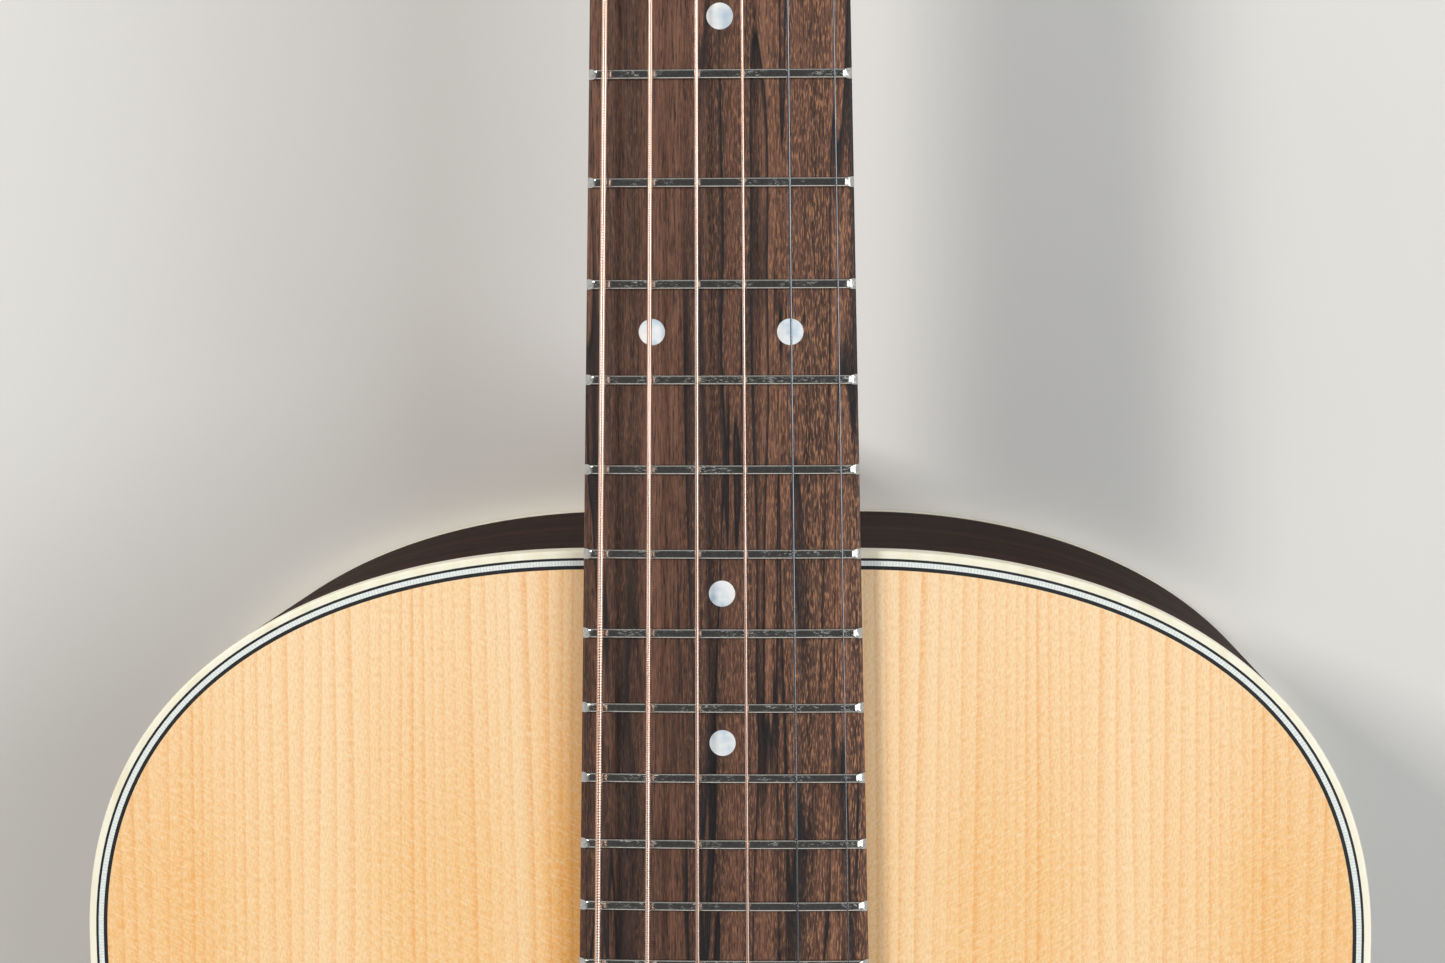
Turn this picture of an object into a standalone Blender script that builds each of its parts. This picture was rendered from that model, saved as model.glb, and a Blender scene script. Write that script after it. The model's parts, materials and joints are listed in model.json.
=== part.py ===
"""Steel-string acoustic guitar, fourteen frets clear of the body, lying on its back.

The guitar's own frame has its origin at the nut end of the fretboard, on the plane of the soundboard.
+X runs to the treble side, +Y along the neck to the headstock and +Z out of the soundboard.
An empty carries that frame and tilts it, so that the flat of the back lies on the ground.
A second empty, at the nut, carries the headstock's frame: +Z is out of its face and +Y to its tip.
"""

import math

import bmesh
import bpy
from mathutils import Matrix, Vector

# Seating
GAP = 0.0003

# Scale, fretboard and frets
SCALE_LENGTH = 0.645
FRET_COUNT = 20
BODY_FRET = 14
NUT_WIDTH = 0.043
TWELFTH_FRET_WIDTH = 0.0548
FRETBOARD_THICKNESS = 0.006
FRETBOARD_RADIUS = 0.406
FRETBOARD_TAIL = 0.0135
FRET_CROWN_WIDTH = 0.0021
FRET_CROWN_HEIGHT = 0.0010

# Strings, from the thin first to the thick sixth
STRING_GAUGES = (0.00030, 0.00041, 0.00061, 0.00081, 0.00107, 0.00135)
STRING_SPREAD_AT_NUT = 0.0380
STRING_SPREAD_AT_SADDLE = 0.0570
STRING_LIFT_AT_NUT = 0.0005
STRING_LIFT_AT_TWELFTH = 0.0023
BALL_RADIUS = 0.0022
WINDING_TURNS = 2.5
WINDING_SPACE = 0.00055
WINDING_CLEARANCE = 0.0005
WINDING_BOTTOM = 0.0045

# Body outline, seen from the front; places are measured from the neck end
BODY_LENGTH = 0.490
NECK_FLAT_WIDTH = 0.056
UPPER_BOUT_WIDTH = 0.2643
UPPER_BOUT_AT = 0.0797
WAIST_WIDTH = 0.2360
WAIST_AT = 0.188
LOWER_BOUT_WIDTH = 0.3760
LOWER_BOUT_AT = 0.368
SHOULDER_REACH = 0.48
SHOULDER_DROP = 0.73
UPPER_FULLNESS = 0.42
WAIST_FULLNESS = 0.42
LOWER_FULLNESS = 0.50
TAIL_DROP = 0.62
TAIL_REACH = 0.58

# Body depth and walls
DEPTH_AT_NECK = 0.0965
DEPTH_AT_TAIL = 0.1080
TOP_THICKNESS = 0.0030
BACK_THICKNESS = 0.0028
SIDE_THICKNESS = 0.0022
BACK_FLAT_WIDTH = 0.048
BACK_ARCH_RADIUS = 3.5
BINDING_WIDTH = 0.0021
BINDING_HEIGHT = 0.0060
LINING_WIDTH = 0.0060
LINING_HEIGHT = 0.0140
LINING_STUB = 0.0002
SOUND_HOLE_RADIUS = 0.050
SOUND_HOLE_AT = 0.153

# Blocks and braces inside the body
NECK_BLOCK_WIDTH = 0.072
NECK_BLOCK_LENGTH = 0.045
TAIL_BLOCK_WIDTH = 0.086
TAIL_BLOCK_LENGTH = 0.018
X_BRACE_AHEAD = 0.0495
X_BRACE_ANGLE = math.radians(49)
BRACE_WIDTH = 0.008
BRACE_HEIGHT = 0.014
BRACE_TIP_HEIGHT = 0.003
TRANSVERSE_BRACE_AT = 0.085
TRANSVERSE_BRACE_WIDTH = 0.012
TONE_BAR_HEIGHT = 0.009
TONE_BAR_REACH = 0.0744
TONE_BAR_SLOPE = 0.034
TONE_BAR_SPACING = 0.0476
TONE_BAR_SHIFT = 0.020
BACK_BRACE_HEIGHT = 0.011
BACK_BRACES_AT = (0.075, 0.212, 0.305, 0.405)
BRIDGE_PLATE_LENGTH = 0.034
BRIDGE_PLATE_WIDTH = 0.120
BRIDGE_PLATE_THICKNESS = 0.0025

# Neck, heel and headstock
NECK_DEPTH_AT_NUT = 0.0145
NECK_DEPTH_AT_HEEL = 0.0170
HEEL_LENGTH = 0.066
HEEL_CAP_LENGTH = 0.027
HEEL_CAP_WIDTH = 0.026
HEEL_CAP_THICKNESS = 0.0035
TENON_WIDTH = 0.018
TENON_FLARE = 0.003
TENON_LENGTH = 0.016
TENON_TOP = 0.0145
TENON_HEIGHT = 0.066
NUT_LENGTH = 0.0050
HEADSTOCK_ANGLE = math.radians(15)
HEADSTOCK_LENGTH = 0.176
HEADSTOCK_THICKNESS = 0.015
HEADSTOCK_WIDTH_LOW = 0.062
HEADSTOCK_WIDTH_TIP = 0.072
HEADSTOCK_FLARE = 0.030
HEADSTOCK_CROWN = 0.005

# Truss rod
ROD_WIDTH = 0.006
ROD_DEPTH = 0.011
ROD_TIP_RADIUS = 0.0020
ROD_AXIS_DEPTH = 0.0092
ROD_NUT_RADIUS = 0.0039
ROD_NUT_BORE = 0.0026
ROD_NUT_LENGTH = 0.013

# Tuners
POST_FIRST = 0.038
POST_SPACING = 0.043
POST_INSET = 0.0095
POST_RADIUS = 0.0030
POST_HEIGHT = 0.0150
POST_HOLE_RADIUS = 0.0009
BUSHING_RADIUS = 0.0047
BUSHING_FLANGE_RADIUS = 0.0060
BUSHING_DEPTH = 0.0080
BUSHING_FLANGE_HEIGHT = 0.0016
PLATE_WIDTH = 0.0150
PLATE_THICKNESS = 0.0012
PLATE_END = 0.0150
EAR_THICKNESS = 0.0012
EAR_WIDTH = 0.0070
WHEEL_TEETH = 14
WHEEL_WIDTH = 0.0024
WORM_PITCH = 0.0022
WORM_PITCH_RADIUS = 0.00235
TOOTH_HALF_HEIGHT = 0.0005
MESH_CLEARANCE = 0.0003
WORM_TURNS = 3
KEY_SHAFT_RADIUS = 0.0015
KEY_REACH = 0.0095
BUTTON_LENGTH = 0.0160
BUTTON_WIDTH = 0.0200
BUTTON_THICKNESS = 0.0072

# Bridge, saddle, pins and trim
SADDLE_SETBACK = 0.0022
SADDLE_SLANT = 0.0530
SADDLE_LENGTH = 0.072
SADDLE_THICKNESS = 0.0027
SADDLE_SLOT_DEPTH = 0.0050
BRIDGE_LENGTH = 0.152
BRIDGE_FRONT = 0.0095
BRIDGE_BACK = 0.0195
BRIDGE_BELLY = 0.0065
BRIDGE_HEIGHT = 0.0080
BRIDGE_WING_HEIGHT = 0.0032
BRIDGE_BLOCK_LENGTH = 0.084
BRIDGE_CHAMFER = 0.0015
BRIDGE_END_LENGTH = 0.0030
BRIDGE_END_TAPER = 0.0035
PINS_BEHIND_SADDLE = 0.0135
PIN_RADIUS = 0.0022
PIN_TIP_RADIUS = 0.0018
PIN_HEAD_RADIUS = 0.0037
PIN_LENGTH = 0.0200
PIN_SET_BACK = 0.0004
PIN_SLOT_WIDTH = 0.0022
PIN_SLOT_REACH = 0.0060
END_PIN_RADIUS = 0.0040
END_PIN_HEAD_RADIUS = 0.0075
END_PIN_PROUD = 0.0130
PICKGUARD_THICKNESS = 0.0012
PICKGUARD_WIDTH = 0.060
PICKGUARD_MARGIN = 0.0130
PICKGUARD_BEFORE_BRIDGE = 0.0100
PICKGUARD_ARC = (32, -68)
PICKGUARD_SHORT_BEND = 0.020
PICKGUARD_LONG_BEND = 0.045
PICKGUARD_FOOT_BEND = 0.030

# Facets
OUTLINE_STEPS = (8, 6, 7, 9)
ROUND_STEPS = 10
WINDING_STEPS = 12
WORM_ROWS = 6

# Derived places in the guitar's frame
BODY_EDGE = -SCALE_LENGTH * (1 - 2 ** (-BODY_FRET / 12))
BOARD_TOP = GAP + FRETBOARD_THICKNESS
SADDLE_Y = -(SCALE_LENGTH + SADDLE_SETBACK)
PIN_Y = SADDLE_Y - PINS_BEHIND_SADDLE
X_BRACE_CROSSING = SADDLE_Y + X_BRACE_AHEAD
BRIDGE_TOP = GAP + BRIDGE_HEIGHT
PLATE_BOTTOM = -(TOP_THICKNESS + BRIDGE_PLATE_THICKNESS + GAP)
CHANNEL = BINDING_WIDTH + GAP
HEEL_FACE = BODY_EDGE + GAP
HEADSTOCK_ORIGIN = NUT_LENGTH + 3 * GAP
BACK_TILT = math.atan2(DEPTH_AT_TAIL - DEPTH_AT_NECK, BODY_LENGTH)
HEAD = Matrix.Translation((0, HEADSTOCK_ORIGIN, 0)) @ Matrix.Rotation(-HEADSTOCK_ANGLE, 4, "X")

# Derived sizes of the worm drive
WHEEL_PITCH_RADIUS = WHEEL_TEETH * WORM_PITCH / (2 * math.pi)
DRIVE_DISTANCE = WHEEL_PITCH_RADIUS + WORM_PITCH_RADIUS
WORM_OUTER = WORM_PITCH_RADIUS + TOOTH_HALF_HEIGHT
WORM_ROOT = WORM_PITCH_RADIUS - TOOTH_HALF_HEIGHT - MESH_CLEARANCE
WORM_LENGTH = WORM_TURNS * WORM_PITCH
KEY_DEPTH = HEADSTOCK_THICKNESS + PLATE_THICKNESS + WORM_OUTER + 4 * GAP
SHAFT_HOLE_RADIUS = KEY_SHAFT_RADIUS + GAP
POST_X = HEADSTOCK_WIDTH_LOW / 2 - POST_INSET


def clear_scene():
    """Remove whatever the opened file holds."""
    for item in list(bpy.data.objects):
        bpy.data.objects.remove(item, do_unlink=True)


def collection(name):
    """A collection linked to the scene."""
    made = bpy.data.collections.new(name)
    bpy.context.scene.collection.children.link(made)
    return made


clear_scene()
GUITAR = collection("acoustic_guitar")
CUTTERS = collection("cutters")


def material(name, colour, roughness, metallic=0.0):
    """Principled material with one colour."""
    made = bpy.data.materials.new(name)
    made.use_nodes = True
    shader = made.node_tree.nodes["Principled BSDF"]
    shader.inputs["Base Color"].default_value = (*colour, 1)
    shader.inputs["Roughness"].default_value = roughness
    shader.inputs["Metallic"].default_value = metallic
    return made


SPRUCE = material("spruce", (0.72, 0.47, 0.22), 0.35)
ROSEWOOD = material("rosewood", (0.10, 0.035, 0.022), 0.35)
DARK_WOOD = material("dark_fretboard_wood", (0.085, 0.05, 0.037), 0.5)
MAHOGANY = material("mahogany", (0.20, 0.075, 0.035), 0.4)
BRACE_WOOD = material("brace_spruce", (0.62, 0.43, 0.24), 0.7)
IVORY = material("ivory_plastic", (0.80, 0.66, 0.44), 0.3)
BONE = material("bone", (0.83, 0.76, 0.62), 0.4)
NICKEL = material("nickel", (0.68, 0.66, 0.62), 0.25, 1.0)
STEEL = material("steel", (0.52, 0.53, 0.55), 0.3, 1.0)
BRONZE = material("phosphor_bronze", (0.62, 0.36, 0.22), 0.3, 1.0)
BRASS = material("brass", (0.66, 0.48, 0.20), 0.3, 1.0)
TORTOISE = material("tortoise_plastic", (0.06, 0.018, 0.01), 0.2)


def empty(name, parent=None):
    """Empty that carries a frame."""
    made = bpy.data.objects.new(name, None)
    made.parent = parent
    GUITAR.objects.link(made)
    return made


GUITAR_FRAME = empty("guitar_frame")
HEADSTOCK_FRAME = empty("headstock_frame", GUITAR_FRAME)
HEADSTOCK_FRAME.matrix_local = HEAD


def piece(name, data, finish, parent=GUITAR_FRAME, smooth_angle=35):
    """Object for one sub-part, with its finish, under the empty that carries it."""
    made = bpy.data.objects.new(name, data)
    made.parent = parent
    GUITAR.objects.link(made)
    if finish.name not in data.materials:
        data.materials.append(finish)
    if isinstance(data, bpy.types.Mesh) and data.polygons:
        data.shade_smooth()
        data.set_sharp_from_angle(angle=math.radians(smooth_angle))
    return made


def cutter(name, data, parent=GUITAR_FRAME):
    """Object that only cuts or joins others."""
    made = bpy.data.objects.new(name, data)
    made.parent = parent
    made.hide_render = True
    made.display_type = "WIRE"
    CUTTERS.objects.link(made)
    return made


def combine(target, tool, operation):
    """Boolean modifier on a piece."""
    modifier = target.modifiers.new(tool.name, "BOOLEAN")
    modifier.object = tool
    modifier.operation = operation
    modifier.solver = "EXACT"


def finish_mesh(name, bm):
    """Mesh from a bmesh, with its faces pointing out."""
    bmesh.ops.recalc_face_normals(bm, faces=bm.faces)
    mesh = bpy.data.meshes.new(name)
    bm.to_mesh(mesh)
    bm.free()
    return mesh


def add_loft(bm, sections, closed_path=False):
    """Skin rings of equal count, with flat caps unless the path closes."""
    rings = [[bm.verts.new(point) for point in section] for section in sections]
    following = rings[1:] + rings[:1] if closed_path else rings[1:]
    for ring, after in zip(rings, following):
        count = len(ring)
        for k in range(count):
            bm.faces.new((ring[k], ring[(k + 1) % count], after[(k + 1) % count], after[k]))
    if not closed_path:
        bm.faces.new(rings[0])
        bm.faces.new(rings[-1])


def loft(name, sections, closed_path=False):
    """Mesh lofted through unlike sections."""
    bm = bmesh.new()
    add_loft(bm, sections, closed_path)
    return finish_mesh(name, bm)


def add_box(bm, low, high):
    """Box between two corners."""
    size = Vector(high) - Vector(low)
    centre = (Vector(high) + Vector(low)) / 2
    bmesh.ops.create_cube(bm, size=1, matrix=Matrix.Translation(centre) @ Matrix.Diagonal((*size, 1)))


def add_cylinder(bm, radius, start, end, steps=ROUND_STEPS):
    """Cylinder between two points."""
    axis = Vector(end) - Vector(start)
    turn = Vector((0, 0, 1)).rotation_difference(axis).to_matrix().to_4x4()
    place = Matrix.Translation((Vector(start) + Vector(end)) / 2) @ turn
    bmesh.ops.create_cone(
        bm, cap_ends=True, segments=steps, radius1=radius, radius2=radius, depth=axis.length, matrix=place
    )


def boxes(name, corners):
    """Mesh of separate boxes."""
    bm = bmesh.new()
    for low, high in corners:
        add_box(bm, low, high)
    return finish_mesh(name, bm)


def cylinders(name, radius, ends, steps=ROUND_STEPS):
    """Mesh of separate cylinders of one radius."""
    bm = bmesh.new()
    for start, end in ends:
        add_cylinder(bm, radius, start, end, steps)
    return finish_mesh(name, bm)


def flat_solid(name, loops, low, high):
    """Closed mesh of a flat outline between two heights; loops inside the first are holes."""
    curve = bpy.data.curves.new(name, "CURVE")
    curve.dimensions = "2D"
    curve.fill_mode = "BOTH"
    curve.extrude = (high - low) / 2
    for loop in loops:
        spline = curve.splines.new("POLY")
        spline.points.add(len(loop) - 1)
        spline.use_cyclic_u = True
        for point, (x, y) in zip(spline.points, loop):
            point.co = (x, y, 0, 1)
    guide = bpy.data.objects.new(name, curve)
    CUTTERS.objects.link(guide)
    bpy.context.view_layer.update()
    mesh = bpy.data.meshes.new_from_object(guide.evaluated_get(bpy.context.evaluated_depsgraph_get()))
    bpy.data.objects.remove(guide)
    mesh.transform(Matrix.Translation((0, 0, (low + high) / 2)))
    bm = bmesh.new()
    bm.from_mesh(mesh)
    bmesh.ops.remove_doubles(bm, verts=bm.verts, dist=1e-6)
    return finish_mesh(name, bm)


def turned(name, profile, finish, parent, steps=ROUND_STEPS, ring=False):
    """Piece turned about its own Z from (radius, height) pairs that run down the outer side."""
    mesh = bpy.data.meshes.new(name)
    edges = [(k, k + 1) for k in range(len(profile) - 1)]
    if ring:
        edges.append((len(profile) - 1, 0))
    mesh.from_pydata([(radius, 0, height) for radius, height in profile], edges, [])
    made = piece(name, mesh, finish, parent)
    screw = made.modifiers.new("turned", "SCREW")
    screw.steps = steps
    screw.render_steps = steps
    screw.use_merge_vertices = True
    screw.merge_threshold = 1e-6
    screw.use_smooth_shade = True
    return made


def arc(centre, radius, start, end, steps):
    """Points on an arc, both ends included."""
    angles = [start + (end - start) * k / steps for k in range(steps + 1)]
    return [(centre[0] + radius * math.cos(a), centre[1] + radius * math.sin(a)) for a in angles]


def circle(centre, radius, steps):
    """Points on a circle."""
    return arc(centre, radius, 0, 2 * math.pi, steps)[:-1]


def mix(a, b, share):
    """Value between two others."""
    return a + (b - a) * share


# Body outline

def cubic(p0, p1, p2, p3, steps):
    """Points of a cubic curve with their inward normals, the end left out."""
    stations = []
    for k in range(steps):
        t = k / steps
        u = 1 - t
        point, slope = [], []
        for a, b, c, d in zip(p0, p1, p2, p3):
            point.append(u**3 * a + 3 * u * u * t * b + 3 * u * t * t * c + t**3 * d)
            slope.append(u * u * (b - a) + 2 * u * t * (c - b) + t * t * (d - c))
        length = math.hypot(*slope)
        stations.append((*point, -slope[1] / length, slope[0] / length))
    return stations


def body_half():
    """Treble half of the outline as (x, distance from neck end, inward x, inward distance)."""
    flat, upper = NECK_FLAT_WIDTH / 2, UPPER_BOUT_WIDTH / 2
    waist, lower = WAIST_WIDTH / 2, LOWER_BOUT_WIDTH / 2
    chest = WAIST_AT - UPPER_BOUT_AT
    hip = LOWER_BOUT_AT - WAIST_AT
    corner = (flat, 0)
    upper_knot = (upper, UPPER_BOUT_AT)
    waist_knot = (waist, WAIST_AT)
    lower_knot = (lower, LOWER_BOUT_AT)
    tail_knot = (0, BODY_LENGTH)
    shoulder = (flat + SHOULDER_REACH * (upper - flat), 0)
    above_upper = (upper, UPPER_BOUT_AT * (1 - SHOULDER_DROP))
    below_upper = (upper, UPPER_BOUT_AT + UPPER_FULLNESS * chest)
    above_waist = (waist, WAIST_AT - WAIST_FULLNESS * chest)
    below_waist = (waist, WAIST_AT + WAIST_FULLNESS * hip)
    above_lower = (lower, LOWER_BOUT_AT - LOWER_FULLNESS * hip)
    below_lower = (lower, LOWER_BOUT_AT + TAIL_DROP * (BODY_LENGTH - LOWER_BOUT_AT))
    tail = (TAIL_REACH * lower, BODY_LENGTH)
    stations = cubic(corner, shoulder, above_upper, upper_knot, OUTLINE_STEPS[0])
    stations += cubic(upper_knot, below_upper, above_waist, waist_knot, OUTLINE_STEPS[1])
    stations += cubic(waist_knot, below_waist, above_lower, lower_knot, OUTLINE_STEPS[2])
    stations += cubic(lower_knot, below_lower, tail, tail_knot, OUTLINE_STEPS[3])
    stations.append((0, BODY_LENGTH, 0, -1))
    return stations


BODY_HALF = body_half()


def inset_point(station, inset):
    """Point on the outline moved inwards, as x and distance from the neck end."""
    x, s, inward_x, inward_s = station
    return x + inset * inward_x, s + inset * inward_s


def body_loop(inset):
    """Whole outline at an inset, as x and y in the guitar's frame."""
    half = [inset_point(station, inset) for station in BODY_HALF]
    whole = half + [(-x, s) for x, s in reversed(half[:-1])]
    return [(x, BODY_EDGE - s) for x, s in whole]


def half_width(s, inset):
    """Half width of the inset outline at a distance from the neck end."""
    half = [inset_point(station, inset) for station in BODY_HALF]
    for (x0, s0), (x1, s1) in zip(half, half[1:]):
        if s0 <= s <= s1:
            return mix(x0, x1, (s - s0) / (s1 - s0))
    return half[0][0]


def station_at(x, tail):
    """Station of the outline at a given x, near the tail or near the neck."""
    order = list(reversed(BODY_HALF)) if tail else BODY_HALF
    for near, far in zip(order, order[1:]):
        if near[0] <= x <= far[0]:
            share = (x - near[0]) / (far[0] - near[0])
            return tuple(mix(a, b, share) for a, b in zip(near, far))
    return order[0]


def back_z(x, s):
    """Outer face of the back: a flat down the middle, arched up to each side."""
    depth = mix(DEPTH_AT_NECK, DEPTH_AT_TAIL, s / BODY_LENGTH)
    rise = max(0, abs(x) - BACK_FLAT_WIDTH / 2) ** 2 / (2 * BACK_ARCH_RADIUS)
    return rise - depth


def on_body(point, z):
    """Point in the guitar's frame from x, distance from the neck end and height."""
    return Vector((point[0], BODY_EDGE - point[1], z))


# Soundboard, back and bindings

def pin_places():
    """x of each bridge pin, first string to sixth."""
    half = STRING_SPREAD_AT_SADDLE / 2
    return [half - 2 * half * k / 5 for k in range(6)]


def keyholes():
    """Cutter for the six pin holes, each with the slot that its string lies in."""
    bm = bmesh.new()
    hole = PIN_RADIUS + GAP
    slot = PIN_SLOT_WIDTH / 2
    opening = math.acos(slot / hole)
    for x in pin_places():
        outline = arc((x, PIN_Y - PIN_SET_BACK), hole, math.pi - opening, 2 * math.pi + opening, 8)
        outline += [(x + slot, PIN_Y + PIN_SLOT_REACH), (x - slot, PIN_Y + PIN_SLOT_REACH)]
        depth = PLATE_BOTTOM - BRIDGE_HEIGHT
        add_loft(bm, [[(px, py, z) for px, py in outline] for z in (depth, 2 * BRIDGE_TOP)])
    return cutter("pin_keyholes", finish_mesh("pin_keyholes", bm))


def brace(name, start, end, height, top, width=BRACE_WIDTH):
    """Gabled brace under the soundboard, tapered to its ends."""
    start, end = Vector((*start, 0)), Vector((*end, 0))
    across = Vector((0, 0, 1)).cross(end - start).normalized() * width / 2
    sections = []
    for share, rise in ((0, 0), (0.2, 0.85), (0.5, 1), (0.8, 0.85), (1, 0)):
        middle = start.lerp(end, share)
        tall = mix(BRACE_TIP_HEIGHT, height, rise)
        lift = Vector((0, 0, top))
        shoulder = Vector((0, 0, top - 0.6 * tall))
        ridge = Vector((0, 0, top - tall))
        sections.append(
            [middle - across + lift, middle + across + lift, middle + across + shoulder, middle + ridge,
             middle - across + shoulder]
        )
    return loft(name, sections)


def soundboard(holes):
    """Top plate with its sound hole, the pin holes and two tone bars glued under it."""
    loops = [body_loop(CHANNEL), circle((0, BODY_EDGE - SOUND_HOLE_AT), SOUND_HOLE_RADIUS, 32)]
    plate = piece("soundboard", flat_solid("soundboard", loops, -TOP_THICKNESS, 0), SPRUCE)
    combine(plate, holes, "DIFFERENCE")
    for k in range(2):
        y = PIN_Y - BRIDGE_PLATE_LENGTH - TONE_BAR_SPACING * k
        shift = TONE_BAR_SHIFT * (2 * k - 1)
        ends = ((shift - TONE_BAR_REACH, y), (shift + TONE_BAR_REACH, y - TONE_BAR_SLOPE))
        bar = brace(f"tone_bar_{k + 1}", *ends, TONE_BAR_HEIGHT, GAP - TOP_THICKNESS)
        combine(plate, cutter(f"tone_bar_{k + 1}", bar), "UNION")


def back():
    """Arched back plate with its cross braces glued on."""
    bm = bmesh.new()
    rows = []
    for station in BODY_HALF:
        x, s = inset_point(station, CHANNEL)
        flat = min(BACK_FLAT_WIDTH / 2, x * 0.6)
        columns = (-x, -(x + flat) / 2, -flat, flat, (x + flat) / 2, x)
        rows.append([bm.verts.new(on_body((c, s), back_z(c, s))) for c in columns])
    for row, after in zip(rows, rows[1:]):
        for k in range(len(row) - 1):
            bm.faces.new((row[k], row[k + 1], after[k + 1], after[k]))
    bmesh.ops.remove_doubles(bm, verts=bm.verts, dist=1e-6)
    plate = piece("back", finish_mesh("back", bm), ROSEWOOD)
    shell = plate.modifiers.new("thickness", "SOLIDIFY")
    shell.thickness = BACK_THICKNESS
    shell.offset = -1 if plate.data.polygons[0].normal.z < 0 else 1
    for number, s in enumerate(BACK_BRACES_AT, 1):
        combine(plate, cutter(f"back_brace_{number}", back_brace(s)), "UNION")


def back_brace(s):
    """Brace across the back, following its arch and tapered to its ends."""
    reach = half_width(s, CHANNEL + LINING_WIDTH + 2 * GAP) - 2 * GAP
    sections = []
    for share, rise in ((-1, 0.2), (-0.7, 0.9), (-0.35, 1), (0, 1), (0.35, 1), (0.7, 0.9), (1, 0.2)):
        x = share * reach
        seat = back_z(x, s) + BACK_THICKNESS * 0.6
        top = seat + BACK_BRACE_HEIGHT * rise
        ring = ((-0.5, seat), (0.5, seat), (0.5, mix(seat, top, 0.6)), (0, top), (-0.5, mix(seat, top, 0.6)))
        sections.append([on_body((x, s + side * BRACE_WIDTH), z) for side, z in ring])
    return loft(f"back_brace_{s}", sections)


def bindings():
    """Plastic edging round the top and the back."""
    loops = [body_loop(0), body_loop(BINDING_WIDTH)]
    piece("top_binding", flat_solid("top_binding", loops, -BINDING_HEIGHT, 0), IVORY)
    mirrored = [(-x, s, -nx, ns) for x, s, nx, ns in reversed(BODY_HALF[:-1])]
    sections = []
    for station in BODY_HALF + mirrored:
        outer, inner = inset_point(station, 0), inset_point(station, BINDING_WIDTH)
        low = back_z(*outer)
        sections.append(
            [on_body(outer, low), on_body(outer, low + BINDING_HEIGHT), on_body(inner, low + BINDING_HEIGHT),
             on_body(inner, back_z(*inner))]
        )
    piece("back_binding", loft("back_binding", sections, closed_path=True), IVORY)


# Sides and blocks

def side_section(station, lining):
    """Section through a side wall with the linings that carry the top and the back."""
    outer, wall = inset_point(station, 0), inset_point(station, SIDE_THICKNESS)
    channel, inner = inset_point(station, CHANNEL), inset_point(station, CHANNEL + lining)
    top_edge = -(BINDING_HEIGHT + GAP)
    top_seat = -(TOP_THICKNESS + GAP)
    back_edge = back_z(*outer) + BINDING_HEIGHT + GAP
    back_seat = back_z(*channel) + BACK_THICKNESS + GAP
    return [
        on_body(outer, top_edge), on_body(outer, back_edge), on_body(channel, back_edge),
        on_body(channel, back_seat), on_body(inner, back_seat), on_body(wall, back_seat + LINING_HEIGHT),
        on_body(wall, top_seat - LINING_HEIGHT), on_body(inner, top_seat), on_body(channel, top_seat),
        on_body(channel, top_edge),
    ]


def side(name, sign):
    """Bent side with its two linings, which stop at the blocks."""
    neck_stop = NECK_BLOCK_WIDTH / 2 + 2 * GAP
    tail_stop = TAIL_BLOCK_WIDTH / 2 + 2 * GAP
    step = LINING_WIDTH / 4
    start = TENON_WIDTH / 2 + TENON_FLARE + 2 * GAP
    bare = [(start, 0, 0, 1)]
    bare += [st for st in BODY_HALF if st[1] < UPPER_BOUT_AT and st[0] < neck_stop]
    bare.append(station_at(neck_stop, False))
    lined = [station_at(neck_stop + step, False)]
    lined += [
        st for st in BODY_HALF
        if (st[1] > UPPER_BOUT_AT or st[0] > neck_stop + step)
        and (st[1] < LOWER_BOUT_AT or st[0] > tail_stop + step)
    ]
    lined.append(station_at(tail_stop + step, True))
    ending = [station_at(tail_stop, True)]
    ending += [st for st in BODY_HALF if st[1] > LOWER_BOUT_AT and GAP < st[0] < tail_stop]
    ending.append((GAP / 2, BODY_LENGTH, 0, -1))
    sections = [side_section(st, LINING_STUB) for st in bare]
    sections += [side_section(st, LINING_WIDTH) for st in lined]
    sections += [side_section(st, LINING_STUB) for st in ending]
    for section in sections:
        for point in section:
            point.x *= sign
    return piece(name, loft(name, sections), ROSEWOOD)


def block_solid(name, outline):
    """Block between the top and the back, its foot following the back."""
    top = -(TOP_THICKNESS + GAP)
    foot = [on_body(p, back_z(*p) + BACK_THICKNESS + 2 * GAP) for p in outline]
    return piece(name, loft(name, [[on_body(p, top) for p in outline], foot]), MAHOGANY)


def neck_block_end():
    """Distance from the neck end of the body to the far face of the neck block."""
    front = station_at(NECK_BLOCK_WIDTH / 2, False)[1] + CHANNEL + LINING_STUB + GAP
    return front + NECK_BLOCK_LENGTH


def neck_block(tenon_tool, rod_tool):
    """Block that the neck's dovetail is glued into."""
    half = NECK_BLOCK_WIDTH / 2
    end = neck_block_end()
    front = end - NECK_BLOCK_LENGTH
    made = block_solid("neck_block", [(-half, front), (half, front), (half, end), (-half, end)])
    combine(made, tenon_tool, "DIFFERENCE")
    combine(made, rod_tool, "DIFFERENCE")


def tail_block(pin_tool):
    """Block that the sides meet on, with the end pin's hole."""
    half = TAIL_BLOCK_WIDTH / 2
    inset = CHANNEL + LINING_STUB + GAP
    near = [st for st in BODY_HALF if st[1] > LOWER_BOUT_AT and st[0] < half]
    right = [inset_point(st, inset) for st in [station_at(half, True)] + near]
    front = right[0][1] - TAIL_BLOCK_LENGTH
    rear = right + [(-x, s) for x, s in reversed(right[:-1])]
    made = block_solid("tail_block", rear + [(rear[-1][0], front), (rear[0][0], front)])
    combine(made, pin_tool, "DIFFERENCE")


# Braces and bridge plate

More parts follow.
